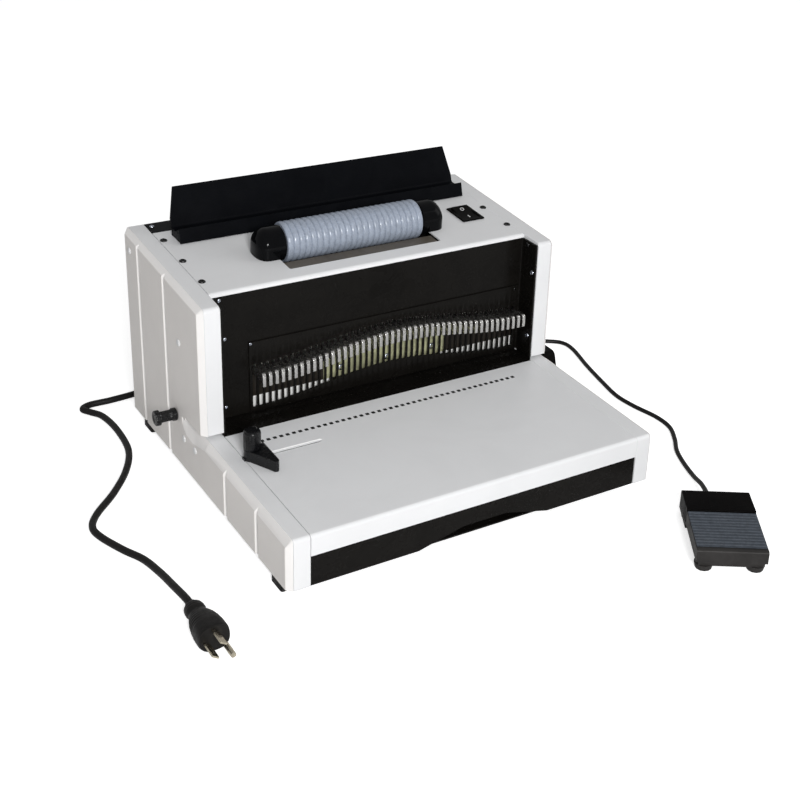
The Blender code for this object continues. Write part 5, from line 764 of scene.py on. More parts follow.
def softened(node, body, width, heads=()):
    """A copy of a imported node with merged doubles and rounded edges, which stands for the node. Its screw heads
    are taken off where finer ones are put on, and with no width its faces stay flat and crisp."""
    source = nodes[node]
    build = bmesh.new()
    build.from_mesh(source.data)
    bmesh.ops.remove_doubles(build, verts=build.verts, dist=CAD_MERGE)
    shave(build, heads)
    bmesh.ops.dissolve_limit(build, angle_limit=FLAT_WITHIN, verts=build.verts, edges=build.edges)
    for face in build.faces:
        face.smooth = bool(width)
    mesh = bpy.data.meshes.new(node + "_finish")
    build.to_mesh(mesh)
    build.free()
    made = bpy.data.objects.new(node + "_finish", mesh)
    bpy.context.scene.collection.objects.link(made)
    if width:
        rounding = made.modifiers.new("rounded edges", "BEVEL")
        rounding.width = width
        rounding.segments = ROUNDING_STEPS
        rounding.limit_method = "ANGLE"
        rounding.angle_limit = SHARP_BEYOND
        rounding.miter_outer = "MITER_ARC"
        shading = made.modifiers.new("flat faces", "WEIGHTED_NORMAL")
        shading.keep_sharp = True
        shading.weight = FACE_WEIGHT
    mesh.materials.append(finish_of(node))
    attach(made, body)
    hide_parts(node)
    shape = made.evaluated_get(bpy.context.evaluated_depsgraph_get()).to_mesh()
    corners = np.empty(len(shape.vertices) * 3)
    shape.vertices.foreach_get("co", corners)
    corners = corners.reshape(-1, 3)
    low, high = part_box(node)
    over = max(np.max(np.array(low) - corners.min(0)), np.max(corners.max(0) - np.array(high)))
    print(node, "faces", len(shape.polygons), "outside its solid by", round(float(over) * 1000, 3), "mm")


print("faces meet flat within", round(math.degrees(FLAT_WITHIN), 2), "degrees")

# %% Where the screws are
PANEL_Y = 0.0253
SHEET = 0.0018
PANEL_HALF = 0.1687
UP = np.array((0.0, -math.sin(HEAD_SLOPE), math.cos(HEAD_SLOPE)))
AHEAD = np.array((0.0, -1.0, 0.0))
RIGHTWARD = np.array((1.0, 0.0, 0.0))
TOP_SCREWS = [(on_head((side * 0.1648, s, 0.0)), UP, 0.0032) for side in (-1, 1) for s in (0.0517, 0.0973, 0.1455)]
REAR_SCREWS = [(on_head((side * 0.1637, 0.1795, 0.0)), UP, 0.0022) for side in (-1, 1)]
FACE_SCREWS = [(on_machine((-0.15085, PANEL_Y, z)), AHEAD, 0.0025) for z in (0.1885, 0.1506, 0.0796)]
FINE_SCREWS = [(on_machine((x, PANEL_Y, z)), AHEAD, 0.0019)
               for x, z in ((-0.1600, 0.1887), (-0.1556, 0.1497), (-0.1560, 0.0802))]
RETURN_SCREWS = [(on_machine((side * (PANEL_HALF - SHEET), y, z)), -side * RIGHTWARD, 0.0025) for side in (-1, 1)
                 for y, z in ((0.0165, 0.188), (0.0062, 0.1615), (0.0072, 0.0918))]
GUARD_FRONT_Y = 0.0236
GUARD_SCREWS = [(on_machine((-0.1314, GUARD_FRONT_Y, 0.1402)), AHEAD, 0.0014),
                (on_machine((0.1596, GUARD_FRONT_Y, 0.1383)), AHEAD, 0.0014)]
HEADS = {"top_cover": TOP_SCREWS, "rear_cover": REAR_SCREWS}
print("screws", sum(map(len, (TOP_SCREWS, REAR_SCREWS, FINE_SCREWS, RETURN_SCREWS, GUARD_SCREWS))))

# %% Housing with rounded edges
HOUSING = {"left_side_frame": 0.0007, "right_side_frame": 0.0007, "left_side_cover": 0.0003,
           "right_side_cover": 0.0003, "table_top": 0.0009, "top_cover": 0.0006, "front_plinth": 0.0003,
           "rear_cover": 0.0005, "coil_tray": 0.0004, "switch_bezel": 0.0004, "roller_trough": 0.0004}
for name, edge in HOUSING.items():
    softened(name, "machine", edge, heads=HEADS.get(name, ()))
softened("front_panel", "machine", 0, heads=FACE_SCREWS + RETURN_SCREWS)

# %% Moving pieces with rounded edges
softened("chip_drawer", "drawer", 0.0008)
softened("edge_guide", "edge_guide_body", 0.0006)
softened("power_rocker", "switch_rocker", 0.0005)
softened("treadle", "pedal_treadle", 0.0006)
softened("pedal_hood", "machine", 0.0008)
softened("pedal_base", "machine", 0.0005)

# %% [markdown]
# ## Screws
# Real pan heads are low domes with a cross recess. One grid gives them all: rings from the middle to the rim, lifted
# by a superellipse, and pressed down wherever a point lies inside one of the two arms of the cross. A Boolean with
# a cross would cut the recess too, but it leaves long thin faces on so small a dome.

# %% Pan head screws
SCREW_RISE = 0.5
RECESS_REACH, ARM_LENGTH, ARM_HALF, RECESS_DEPTH = 0.6, 0.52, 0.13, 0.55
SCREW_SINK = -0.12


def pan_heads(name, screws, material, body="machine", grow=1.08):
    """Pan heads: the height is a share of the radius R times the root of 1 - (r / R) ** 3, less the cross's depth
    where a point lies in one of its arms."""
    share = np.concatenate((np.linspace(0, RECESS_REACH, 10), np.linspace(0.66, 0.97, 6), (1.0, 1.0)))
    angle = np.linspace(0, 2 * np.pi, 48, endpoint=False)
    u = share[:, None] * np.cos(angle)
    v = share[:, None] * np.sin(angle)
    arm = (np.maximum(np.abs(u), np.abs(v)) < ARM_LENGTH) & (np.minimum(np.abs(u), np.abs(v)) < ARM_HALF)
    dome = (1 - share ** 3) ** 0.5
    dome[-1] = SCREW_SINK
    lift = np.broadcast_to(dome[:, None], u.shape) - RECESS_DEPTH * arm * (share[:, None] < RECESS_REACH)
    points, faces, caps = [], [], []
    for centre, normal, radius in screws:
        side = np.cross(normal, (0.0, 0.0, 1.0) if abs(normal[2]) < 0.9 else (1.0, 0.0, 0.0))
        side /= np.linalg.norm(side)
        over = np.cross(normal, side)
        reach = radius * grow
        at = centre + reach * (u[..., None] * side + v[..., None] * over)
        at = at + SCREW_RISE * reach * lift[..., None] * normal
        start = len(points) * u.size
        points.append(at.reshape(-1, 3))
        faces.append(grid_faces(len(share), len(angle), wrap_columns=True) + start)
        caps.append([start + u.size - 1 - k for k in range(len(angle))])
    return piece(name, np.concatenate(points), np.concatenate(faces), material, body, crease=40,
                 caps=caps)


pan_heads("top_cover_screws", TOP_SCREWS, "black_screw")
pan_heads("rear_flange_screws", REAR_SCREWS, "bright_screw")
pan_heads("panel_screws", FINE_SCREWS + RETURN_SCREWS[:3] + RETURN_SCREWS[4:], "bright_screw", grow=1.0)
pan_heads("corner_screw", RETURN_SCREWS[3:4], "black_screw", grow=1.0)
pan_heads("guard_screws", GUARD_SCREWS[:1], "bright_screw")
pan_heads("guard_screw_right", GUARD_SCREWS[1:], "black_screw")

# %% [markdown]
# ## The slotted guard
# The guard is a thin plate with 46 upright slots whose row rises in an arch. Each slot lies in a cell as wide as the
# pitch. The cell is a ring between two loops of equal length: the slot's own outline, round at both ends, and the
# rectangle of the cell. Rings behind the first give the slot its rounded rim and its depth. Booleans could cut the
# slots instead, but a grid puts every edge where the light should catch it.

# %% Slot places
SLOT_PITCH = DOT_PITCH
SLOT_COUNT = 46
SLOT_MID_X = 0.0152
ARCH_RISE = 0.0145
slot_x = SLOT_MID_X + SLOT_PITCH * (np.arange(SLOT_COUNT) - (SLOT_COUNT - 1) / 2)
arch = ARCH_RISE * (1 + np.cos(np.pi * np.abs(slot_x - SLOT_MID_X) / (SLOT_PITCH * (SLOT_COUNT - 1) / 2))) / 2
print("slots from", round(slot_x[0], 4), "to", round(slot_x[-1], 4), "arch", round(arch.max(), 4))

# %% Outline of a slot
GUARD_BACK_Y = 0.0250
GUARD_LOW, GUARD_HIGH = 0.0705, 0.1418
GUARD_LEFT, GUARD_RIGHT = -0.1327, 0.1631
SLOT_HALF = 0.00205
SLOT_LOW = 0.0746
SLOT_TALL = 0.0444
RIM = 0.0003
HALF_LOOP = 9
turn = np.linspace(0, np.pi, HALF_LOOP)
sweep = np.concatenate((turn, turn + np.pi))
upper = np.concatenate((np.ones(HALF_LOOP), np.zeros(HALF_LOOP)))
low = (SLOT_LOW + arch)[:, None]


def slot_loop(grow):
    """The slot's outline grown by an amount: half a circle over its top and half a circle under its foot."""
    radius = SLOT_HALF * 0.55 + grow
    wide = slot_x[:, None] + np.sign(np.cos(sweep)) * SLOT_HALF * 0.45 * (np.abs(np.cos(sweep)) > 1e-6)
    x = wide + radius * np.cos(sweep)
    middle = low + SLOT_HALF * 0.55 + upper * (SLOT_TALL - SLOT_HALF * 1.1)
    return x, middle + radius * np.sin(sweep)


print("slot", round(SLOT_HALF * 2000, 1), "mm wide,", SLOT_TALL * 1000, "mm tall")

# %% Cells of the guard
share = np.concatenate((1 - np.arange(HALF_LOOP) / 4, np.arange(HALF_LOOP) / 4 - 1))
left = slot_x - SLOT_PITCH / 2
right = slot_x + SLOT_PITCH / 2
left[0], right[-1] = GUARD_LEFT + RIM, GUARD_RIGHT - RIM
cell_x = (left + right)[:, None] / 2 + (right - left)[:, None] / 2 * share
cell_z = np.broadcast_to(np.where(upper > 0, GUARD_HIGH - RIM, GUARD_LOW + RIM), cell_x.shape)
rings = [(cell_x, cell_z, GUARD_FRONT_Y)]
for grow, depth in ((RIM, 0), (RIM * 0.3, RIM * 0.3), (0, RIM)):
    rings.append((*slot_loop(grow), GUARD_FRONT_Y + depth))
rings.append((*slot_loop(0), GUARD_BACK_Y))
rings.append((cell_x, cell_z, GUARD_BACK_Y))
cells = np.stack([np.stack((x, np.full_like(x, y), z), -1) for x, z, y in rings], 1)
cell_faces = grid_faces(len(rings), len(sweep), wrap_columns=True)
per_cell = len(rings) * len(sweep)
guard_faces = (cell_faces[None] + (np.arange(SLOT_COUNT) * per_cell)[:, None, None]).reshape(-1, 4)
print("cells", len(cells), "with", len(guard_faces), "faces")

# %% Rim of the guard
rim_x = np.concatenate((cell_x[:, HALF_LOOP:].ravel(), cell_x[::-1, :HALF_LOOP].ravel()))
rim_z = np.concatenate((cell_z[:, HALF_LOOP:].ravel(), cell_z[::-1, :HALF_LOOP].ravel()))
keep = np.ones(len(rim_x), bool)
keep[1:] = (np.abs(np.diff(rim_x)) + np.abs(np.diff(rim_z))) > 1e-7
rim_x, rim_z = rim_x[keep], rim_z[keep]
out_x = np.where(rim_x < GUARD_LEFT + RIM * 1.01, -1.0, np.where(rim_x > GUARD_RIGHT - RIM * 1.01, 1.0, 0.0))
out_z = np.where(rim_z > (GUARD_LOW + GUARD_HIGH) / 2, 1.0, -1.0)
edge_rows = []
for out, depth in ((0, 0), (0.7, 0.3), (1, 1), (1, None), (0, None)):
    y = GUARD_BACK_Y if depth is None else GUARD_FRONT_Y + RIM * depth
    edge_rows.append(np.stack((rim_x + out_x * RIM * out, np.full_like(rim_x, y), rim_z + out_z * RIM * out), -1))
edge_faces = grid_faces(len(edge_rows), len(rim_x), wrap_columns=True) + cells.size // 3
guard_points = np.concatenate((cells.reshape(-1, 3), np.stack(edge_rows).reshape(-1, 3)))
guard = piece("slot_guard_finish", on_machine(guard_points), np.concatenate((guard_faces, edge_faces)), "black_paint",
              "machine", ["slot_guard"], crease=35)
print("guard", len(guard.data.polygons), "faces")

# %% [markdown]
# ## Pull tabs
# Behind every slot a pin carries a bright nickel-plated tab: a hook that reaches forward through the slot, rounds
# over and drops down in front, where a fingertip can pull it. The first and the last one slide on their own. The
# others are one piece with the ram, so their fronts join a copy of the ram that is cut off just behind the guard.
# One hook is a slab with eased corners, and one array of places lifts it to all the others along the arch.

# %% Tab hooks
TAB_HALF = 0.0016
TAB_LOW = 0.1053
TAB_EASE = 0.0004
TAB_REAR = 0.0335
HOOK = np.array(((0.0018, 0.0), (0.0046, 0.0), (0.0052, 0.0042), (1.0, 0.0042), (1.0, 0.0112), (0.0150, 0.0112),
                 (0.0112, 0.0134), (0.0018, 0.0134)))
HOOK_REACH = np.array((0.0006, 0.0006, 0.0014, 0.0001, 0.0001, 0.0012, 0.0016, 0.0046))[:, None]


def hook(rear):
    """One tab, as a slab across x: the outline of the hook in y and height, with its corners eased."""
    corners = HOOK.copy()
    corners[:, 0] = np.minimum(corners[:, 0], rear)
    return slab(eased(corners, HOOK_REACH, 5, closed=True), -TAB_HALF, TAB_HALF, TAB_EASE, 0)


def hooks_at(which, rear):
    """The tabs of some slots, each lifted by the arch at its slot."""
    points, faces, caps = hook(rear)
    places = on_machine(np.stack((slot_x[which], np.zeros(len(which)), TAB_LOW + arch[which]), -1))
    return repeated(points, faces, places, caps)


for name, which, body in (("pull_tab_first", 0, "first_tab"), ("pull_tab_last", SLOT_COUNT - 1, "last_tab")):
    points, faces, caps = hooks_at(np.array([which]), TAB_REAR)
    piece(name + "_finish", points, faces, "tab_nickel", body, [name], crease=30, caps=caps)
print("one tab", len(faces), "faces")

# %% Ram with its tabs
CUT_Y = 0.0256
build = bmesh.new()
build.from_mesh(nodes["punch_ram"].data)
bmesh.ops.remove_doubles(build, verts=build.verts, dist=CAD_MERGE)
parts = bmesh.ops.bisect_plane(build, geom=build.verts[:] + build.edges[:] + build.faces[:],
                               plane_co=on_machine((0, CUT_Y, 0)), plane_no=(0, -1, 0), clear_outer=True)
bmesh.ops.edgeloop_fill(build, edges=[e for e in parts["geom_cut"] if isinstance(e, bmesh.types.BMEdge)])
build.verts.index_update()
ram_points = np.array([vertex.co[:] for vertex in build.verts])
ram_faces = [[vertex.index for vertex in face.verts] for face in build.faces]
build.free()
points, faces, caps = hooks_at(np.arange(1, SLOT_COUNT - 1), CUT_Y)
start = len(ram_points)
piece("punch_ram_finish", np.concatenate((ram_points, points.reshape(-1, 3))), faces + start, "tab_nickel",
      "punch_ram_body", ["punch_ram"], crease=30,
      caps=ram_faces + [[index + start for index in cap] for cap in caps])
pan_heads("retainer_screws", [(on_machine((x, 0.0296, 0.0922)), AHEAD, 0.0031) for x in (-0.0356, 0.0152, 0.066)],
          "bright_screw", "punch_ram_body")
print("tabs", SLOT_COUNT)

# %% [markdown]
# ## The inserter roller
# The roller's sleeve is soft blue-grey rubber, cast with round ridges that carry a coil along a book's edge. A Screw
# modifier could turn it, but as an array the radius is simply the outer one less a little where a sine falls to
# nothing, which gives round ridges with narrow grooves between them.

# %% Roller sleeve
AXLE_Y, AXLE_Z = 0.0820, 0.2092
SLEEVE_LEFT, SLEEVE_RIGHT = -0.0735, 0.0725
SLEEVE_RADIUS = 0.0197
SLEEVE_SIDES = 72
RIDGES, RIDGE_STEPS = 24, 14
RIDGE_FALL = 0.0015
place = np.linspace(0, 1, RIDGES * RIDGE_STEPS + 1)
bulge = np.abs(np.sin(np.pi * RIDGES * place)) ** 0.5
profile = np.stack((SLEEVE_LEFT + (SLEEVE_RIGHT - SLEEVE_LEFT) * place, SLEEVE_RADIUS - RIDGE_FALL * (1 - bulge)), -1)
ends = [((SLEEVE_LEFT, 0.0157), (SLEEVE_LEFT, 0.0172), (SLEEVE_LEFT, 0.0183)),
        ((SLEEVE_RIGHT, 0.0183), (SLEEVE_RIGHT, 0.0172), (SLEEVE_RIGHT, 0.0157))]
profile = np.concatenate((ends[0], profile, ends[1]))
points, _ = turned(profile, on_machine((0, AXLE_Y, AXLE_Z)), (1, 0, 0), SLEEVE_SIDES)
sleeve = piece("roller_sleeve_finish", points, grid_faces(len(profile), SLEEVE_SIDES, True, True), "roller_rubber",
               "inserter_roller", ["roller_sleeve"], crease=70)
print("sleeve", len(sleeve.data.polygons), "faces")

# %% [markdown]
# ### The roller's caps
# Each cap is a glossy bullet that stands on the cover. Across it, a section is half an ellipse over two upright
# walls; along it, the walls' half width and the dome's height fall to nothing as superellipses. Over the well of
# the roller the walls give way to the lower half of the circle. A rounded cylinder would stand too thin at the foot.

# %% Roller caps
CAP_RADIUS = 0.0172
CAP_START, CAP_FLOOR, CAP_NOSE, CAP_TIP = 0.0745, 0.0812, 0.0880, 0.1010
AXLE_S = 0.0828
AXLE_H = 0.00932
CAP_CLEARANCE = 0.0003


def cap(name, side, node):
    """A cap from the sleeve outwards; sections are (s, height) on the head's top."""
    along = np.concatenate((np.linspace(CAP_START, CAP_NOSE, 8), CAP_NOSE + (CAP_TIP - CAP_NOSE)
                            * np.sin(np.linspace(0, np.pi / 2, 22)[1:])))
    along = np.sort(np.append(along, (CAP_FLOOR - 1e-5, CAP_FLOOR)))
    t = np.clip((along - CAP_NOSE) / (CAP_TIP - CAP_NOSE), 0, 1)[:, None]
    wide = CAP_RADIUS * (1 - t ** 2.7) ** (1 / 2.5)
    tall = CAP_RADIUS * (1 - t ** 2.1) ** (1 / 2.0)
    turn = np.linspace(0, np.pi, 33)
    over_s = wide * np.cos(turn)
    over_h = tall * np.sin(turn)
    under = np.linspace(np.pi, 2 * np.pi, 25)[1:-1]
    step = np.linspace(0, 4, 25)[1:-1]
    walls = np.clip(step, 0, 1) * np.clip(4 - step, 0, 1)
    across = np.clip(2 - step, -1, 1)
    base = -AXLE_H + CAP_CLEARANCE
    in_well = (along < CAP_FLOOR - 5e-6)[:, None]
    low_s = np.where(in_well, CAP_RADIUS * np.cos(under), -wide * across)
    low_h = np.where(in_well, CAP_RADIUS * np.sin(under), base * walls)
    s = AXLE_S + np.concatenate((over_s, low_s), 1)
    h = AXLE_H + np.concatenate((over_h, low_h), 1)
    x = np.broadcast_to(side * along[:, None], s.shape)
    points = on_head(np.stack((x, s, h), -1))
    return piece(name, points, grid_faces(*s.shape, wrap_columns=True), "gloss_black", "machine",
                 [node], crease=42, caps=end_caps(*s.shape))


for hand, side in (("left", -1), ("right", 1)):
    made = cap(f"{hand}_roller_cap_finish", side, f"{hand}_roller_cap")
    print(hand, "cap", len(made.data.polygons), "faces")

# %% [markdown]
# ## Turned knobs and cord grommets
# The depth knob, the guide's knob and the grommets are all turned profiles. A knurl is a small ripple of the radius
# with the angle, faded in and out along the profile. A bump texture would save faces, but the outline of a knob
# shows its ridges, so they are real here.

# %% Knurled profile
def knurled(name, profile, centre, axis, ripple, count, material, body, node, sides):
    """A turned profile whose radius r becomes r * (1 - ripple * weight * (1 + cos(count * angle)) / 2)."""
    profile = np.asarray(profile, float)
    points, faces = turned(profile[:, :2], centre, axis, sides)
    angle = np.linspace(0, 2 * np.pi, sides, endpoint=False)
    cut = ripple * profile[:, 2:3] * (1 + np.cos(count * angle)) / 2
    spine = np.asarray(centre) + profile[:, :1, None] * np.asarray(axis, float)
    points = spine + (points - spine) * (1 - cut)[..., None]
    piece(name, points, faces, material, body, [node], crease=40)
    print(name, len(faces), "faces")


# %% Knobs
KNOB_AT = on_machine((-0.1900, 0.0640, 0.0636))
knob_profile = ((-0.0350, 0, 0), (-0.0350, 0.0034, 0), (-0.0003, 0.0034, 0), (0.0003, 0.0034, 0),
                (0.0003, 0.0056, 0), (0.0009, 0.0062, 0), (0.0042, 0.0062, 0), (0.0048, 0.0056, 0),
                (0.0052, 0.0054, 1), (0.0105, 0.0053, 1), (0.0160, 0.0054, 1), (0.0164, 0.0062, 0),
                (0.0167, 0.0072, 0), (0.0173, 0.0074, 1), (0.0203, 0.0074, 1), (0.0211, 0.0070, 0),
                (0.0214, 0.0062, 0), (0.0214, 0.0040, 0), (0.0211, 0.0036, 0), (0.0211, 0, 0))
knurled("depth_knob_finish", knob_profile, KNOB_AT, (-1, 0, 0), 0.07, 18, "black_plastic", "depth_knob_body",
        "depth_knob", 108)

GUIDE_KNOB_AT = on_table((-0.1620, -0.0455, 0.0))
GUIDE_UP = (0.0, -math.sin(TABLE_SLOPE), math.cos(TABLE_SLOPE))
guide_profile = ((0.0111, 0, 0), (0.0111, 0.0070, 0), (0.0114, 0.0075, 0), (0.0121, 0.0079, 1), (0.0260, 0.0079, 1),
                 (0.0270, 0.0078, 0.4), (0.0279, 0.0075, 0), (0.0286, 0.0068, 0), (0.0289, 0.0058, 0), (0.0289, 0, 0))
knurled("guide_knob_finish", guide_profile, GUIDE_KNOB_AT, GUIDE_UP, 0.035, 24, "black_plastic", "guide_knob_body",
        "guide_knob", 120)


# %% Cord grommets
GROMMET_ROWS, GROOVE_DEPTH = 60, 0.0009


def grommet_profile(length, big, small, grooves=4):
    """A tapered sleeve with grooves: radius = big + (small - big) * t, less a groove where a cosine peaks."""
    t = np.linspace(0, 1, GROMMET_ROWS)
    groove = (0.5 + 0.5 * np.cos(2 * np.pi * grooves * t)) ** 4 * (t > 0.08) * (t < 0.93)
    radius = big + (small - big) * t ** 0.9 - GROOVE_DEPTH * groove
    rows = np.stack((t * length, radius, np.zeros(GROMMET_ROWS)), -1)
    start = ((-0.0035, 0, 0), (-0.0035, small, 0), (0, small, 0), (0, big, 0))
    return np.concatenate((start, rows[1:], ((length, 0, 0),)))


knurled("mains_grommet_finish", grommet_profile(0.0205, 0.0078, 0.0049), on_machine((-0.1280, 0.1893, 0.0360)),
        (0, 1, 0), 0, 1, "black_rubber", "machine", "mains_grommet", 40)
knurled("pedal_grommet_finish", grommet_profile(0.0180, 0.0062, 0.0036), on_machine((0.1480, 0.1893, 0.0360)),
        (0, 1, 0), 0, 1, "black_rubber", "machine", "pedal_grommet", 40)

# %% [markdown]
# ## The marks of the switch
# The rocker carries a raised ring for off and a bar for on. An image could print them, but two small raised pieces
# stay sharp at any distance: the ring is a torus, the bar a slab, and both are laid on the rocker's sloping halves.

# %% Places on the rocker
ROCKER_X, ROCKER_S = 0.1380, 0.0892
ROCKER_TILT = math.radians(8)
ROCKER_SLOPE = math.atan2(0.0018, 0.0134)
ROCKER_LIFT = 0.0012


def on_rocker(points):
    """Points (x, along, lift) of the tilted rocker, by way of the head's top."""
    x, y, z = np.moveaxis(np.asarray(points, float), -1, 0)
    c, s = math.cos(ROCKER_TILT), math.sin(ROCKER_TILT)
    return on_head(np.stack((ROCKER_X + x, ROCKER_S + y * c - z * s, y * s + z * c), -1))


def on_half(x, along, lift, hand):
    """A place on the rear half (hand 1) or the front half (hand -1) of the rocker, which both rise outwards."""
    c, s = math.cos(ROCKER_SLOPE), math.sin(ROCKER_SLOPE)
    return on_rocker(np.stack((x, hand * (along * c - lift * s), ROCKER_LIFT + along * s + lift * c), -1))


print("halves rise by", round(math.degrees(ROCKER_SLOPE), 1), "degrees")

# %% Off and on
RING_RADIUS, RING_TUBE, RING_AT = 0.0019, 0.00035, 0.0072
turn = np.linspace(0, 2 * np.pi, 48, endpoint=False)[:, None]
tube = np.linspace(0, 2 * np.pi, 10, endpoint=False)[None]
across = RING_RADIUS + RING_TUBE * np.cos(tube)
ring = on_half(across * np.cos(turn), RING_AT + across * np.sin(turn), 0.0002 + 0.0003 * np.sin(tube + 0 * turn), 1)
piece("off_mark", ring, grid_faces(48, 10, True, True), "white_mark", "switch_rocker")
bar, faces, caps = slab(rounded_box(-0.0006, 0.0048, 0.0006, 0.0092, 0.0003, 3), 0.0, 0.0004, 0.0001, 2)
piece("on_mark", on_half(bar[..., 0], bar[..., 1], bar[..., 2] - 0.0001, -1), faces, "white_mark", "switch_rocker",
      caps=caps)
print("ring", ring.shape[0] * ring.shape[1], "points, bar", bar.shape[0] * bar.shape[1])

# %% [markdown]
# ## Ribbed feet
# The feet are rubber blocks with fine level ribs that let them grip and give. Extruding rib after rib would be slow
# by hand: here one outline is stacked upwards, and it moves in and out as a cosine of the height.

# %% Ribbed feet
RIB_PITCH, RIB_DEPTH = 0.0025, 0.0005
FOOT_TOP = 0.0127
FOOT_HALF_X, FOOT_HALF_Y, FOOT_CORNER = 0.0100, 0.0105, 0.0030
SOLE_EASE = 0.0009
for end, foot_y in (("front", -0.1455), ("rear", 0.1570)):
    for hand, foot_x in (("left", -0.1767), ("right", 0.1767)):
        outline = rounded_box(foot_x - FOOT_HALF_X, foot_y - FOOT_HALF_Y, foot_x + FOOT_HALF_X, foot_y + FOOT_HALF_Y,
                              FOOT_CORNER, 5)
        height = np.linspace(0, FOOT_TOP, 62)
        rib = RIB_DEPTH * (0.5 + 0.5 * np.cos(2 * np.pi * height / RIB_PITCH)) ** 2
        rib[0] = SOLE_EASE
        rows = np.stack([inward(outline, amount) for amount in rib])
        points = np.concatenate((rows, np.broadcast_to(height[:, None, None], (*rows.shape[:2], 1))), 2)
        piece(f"foot_{end}_{hand}_finish", on_machine(points), grid_faces(*rows.shape[:2], wrap_columns=True),
              "black_rubber", "machine", [f"foot_{end}_{hand}"], crease=60,
              caps=end_caps(*rows.shape[:2]))
print("a foot", rows.shape[0] * rows.shape[1], "points")

# %% [markdown]
# ## Closed ends of the tray, and painted shade at the panel's foot
# The folded tray is closed at both ends by a thin plate. At the foot of the panel's side returns, small black strips
# paint the shade over the frame's lit inner edge. Both are flat outlines with some thickness, so the slab that made
# the tabs makes them too.

# %% Ends of the coil tray
TRAY_END = np.array(((0.1301, 0.2040), (0.1531, 0.2052), (0.1512, 0.2112), (0.1414, 0.2112), (0.1345, 0.2152)))
for hand, low, high in (("left", -0.1535, -0.1523), ("right", 0.1587, 0.1599)):
    points, faces, caps = slab(TRAY_END, low, high, 0.0002, 0)
    piece(f"tray_end_{hand}", on_machine(points), faces, "tray_black", "machine", crease=30, caps=caps)
print("a tray end", len(faces), "faces")

# %% Painted shade at the foot of the panel's returns
for hand, side in (("left", -1), ("right", 1)):
    edges = sorted((side * 0.1680, side * 0.1688))
    # a black strip over the frame's inner edge: painted shade, not a real foot
    foot = rounded_box(0.0014, 0.0659, 0.0250, 0.0693, 0.0004, 3)
    points, faces, caps = slab(foot, *edges, 0.0001, 0)
    piece(f"panel_shade_strip_{hand}", on_machine(points), faces, "black_paint", "machine", caps=caps)
print("a panel foot", len(faces), "faces")

# %% [markdown]
# ## Domed plugs of the side cover
# Small plastic plugs hide the screws of the left cover. Each is a flat dome that catches one bright point of light.
# A squashed sphere would do, but listed rings lie closest together where the dome turns down at its rim.

# %% Domed cover plugs
PLUG_FACE_X = 0.1902
DOME_RADIUS, DOME_RISE, DOME_SINK = 0.0034, 0.0009, 0.0004
DOME_SIDES = 32
dome_turn = np.linspace(0, 2 * np.pi, DOME_SIDES, endpoint=False)
dome_share = np.array((0.0, 0.2, 0.4, 0.6, 0.75, 0.88, 0.96, 1.0, 1.0))[:, None]
dome_rise = DOME_RISE * np.sqrt(1 - dome_share ** 2)
dome_rise[-1] = -DOME_SINK
dome = np.stack((-dome_rise + 0 * dome_turn, DOME_RADIUS * dome_share * np.cos(dome_turn),
                 DOME_RADIUS * dome_share * np.sin(dome_turn)), -1)
dome_places = [on_machine((-PLUG_FACE_X, y, z))
               for y, z in ((0.1715, 0.1887), (0.0502, 0.1432), (0.0465, 0.0455), (0.0198, 0.0464))]
dome_back = end_caps(len(dome), DOME_SIDES)[1][::-1]
points, faces, caps = repeated(dome, grid_faces(len(dome), DOME_SIDES, wrap_columns=True), dome_places, [dome_back])
piece("left_cover_plugs", points, faces, "white_paint", "machine", crease=40, caps=caps)
print("plugs", len(dome_places))

# %% [markdown]
# ## A painted highlight along the guide's track
# The rear rim of the track in the table catches the light and shows as one bright line: a thin bead, whiter than the
# table's paint, stands for it as a painted highlight. A curve with a bevel could be laid there; as an array, the same
# tube can thin away to almost nothing along the front, where none is seen.

# %% Bead of painted highlight along the track
TRACK_LEFT, TRACK_RIGHT, TRACK_Y, TRACK_HALF = -0.1665, -0.0940, -0.0455, 0.0017
BEAD_RADIUS, BEAD_FLATNESS, BEAD_LIFT, BEAD_SIDES = 0.0008, 0.8, 0.0001, 10
turn = np.linspace(-np.pi / 2, np.pi / 2, 13)
reach = TRACK_HALF + BEAD_RADIUS
bead_x = np.concatenate((TRACK_RIGHT - TRACK_HALF + reach * np.cos(turn),
                         TRACK_LEFT + TRACK_HALF - reach * np.cos(turn)))
bead_y = TRACK_Y + np.concatenate((reach * np.sin(turn), -reach * np.sin(turn)))
line = np.stack((bead_x, bead_y), -1)
out = inward(line, -1.0) - line
around = np.linspace(0, 2 * np.pi, BEAD_SIDES, endpoint=False)
thick = BEAD_RADIUS * np.clip((bead_y - TRACK_Y) / TRACK_HALF, 0.1, 1.0)[:, None]
bead = line[:, None] + (thick * np.cos(around))[..., None] * out[:, None]
bead_h = BEAD_LIFT + BEAD_FLATNESS * thick * np.sin(around)
points = on_table(np.concatenate((bead, bead_h[..., None]), -1))
piece("track_highlight_bead", points, grid_faces(len(line), BEAD_SIDES, True, True), "painted_highlight_white", "machine")
print("bead", len(line) * BEAD_SIDES, "points")

# %% [markdown]
# ## Stage and light
# The floor and the backdrop are plain and pale. A soft lamp stands near the camera, since in the photograph the
# faces that look forward are brightest and the left side is the darkest, and a weak broad one fills from the right.
# The world lights from all round, least from the left and from low down. The camera sees it as full white, while
# reflections see less than half of that, so that black pieces stay black. Three lamps could do the same, but a world
# gives softer shadows.

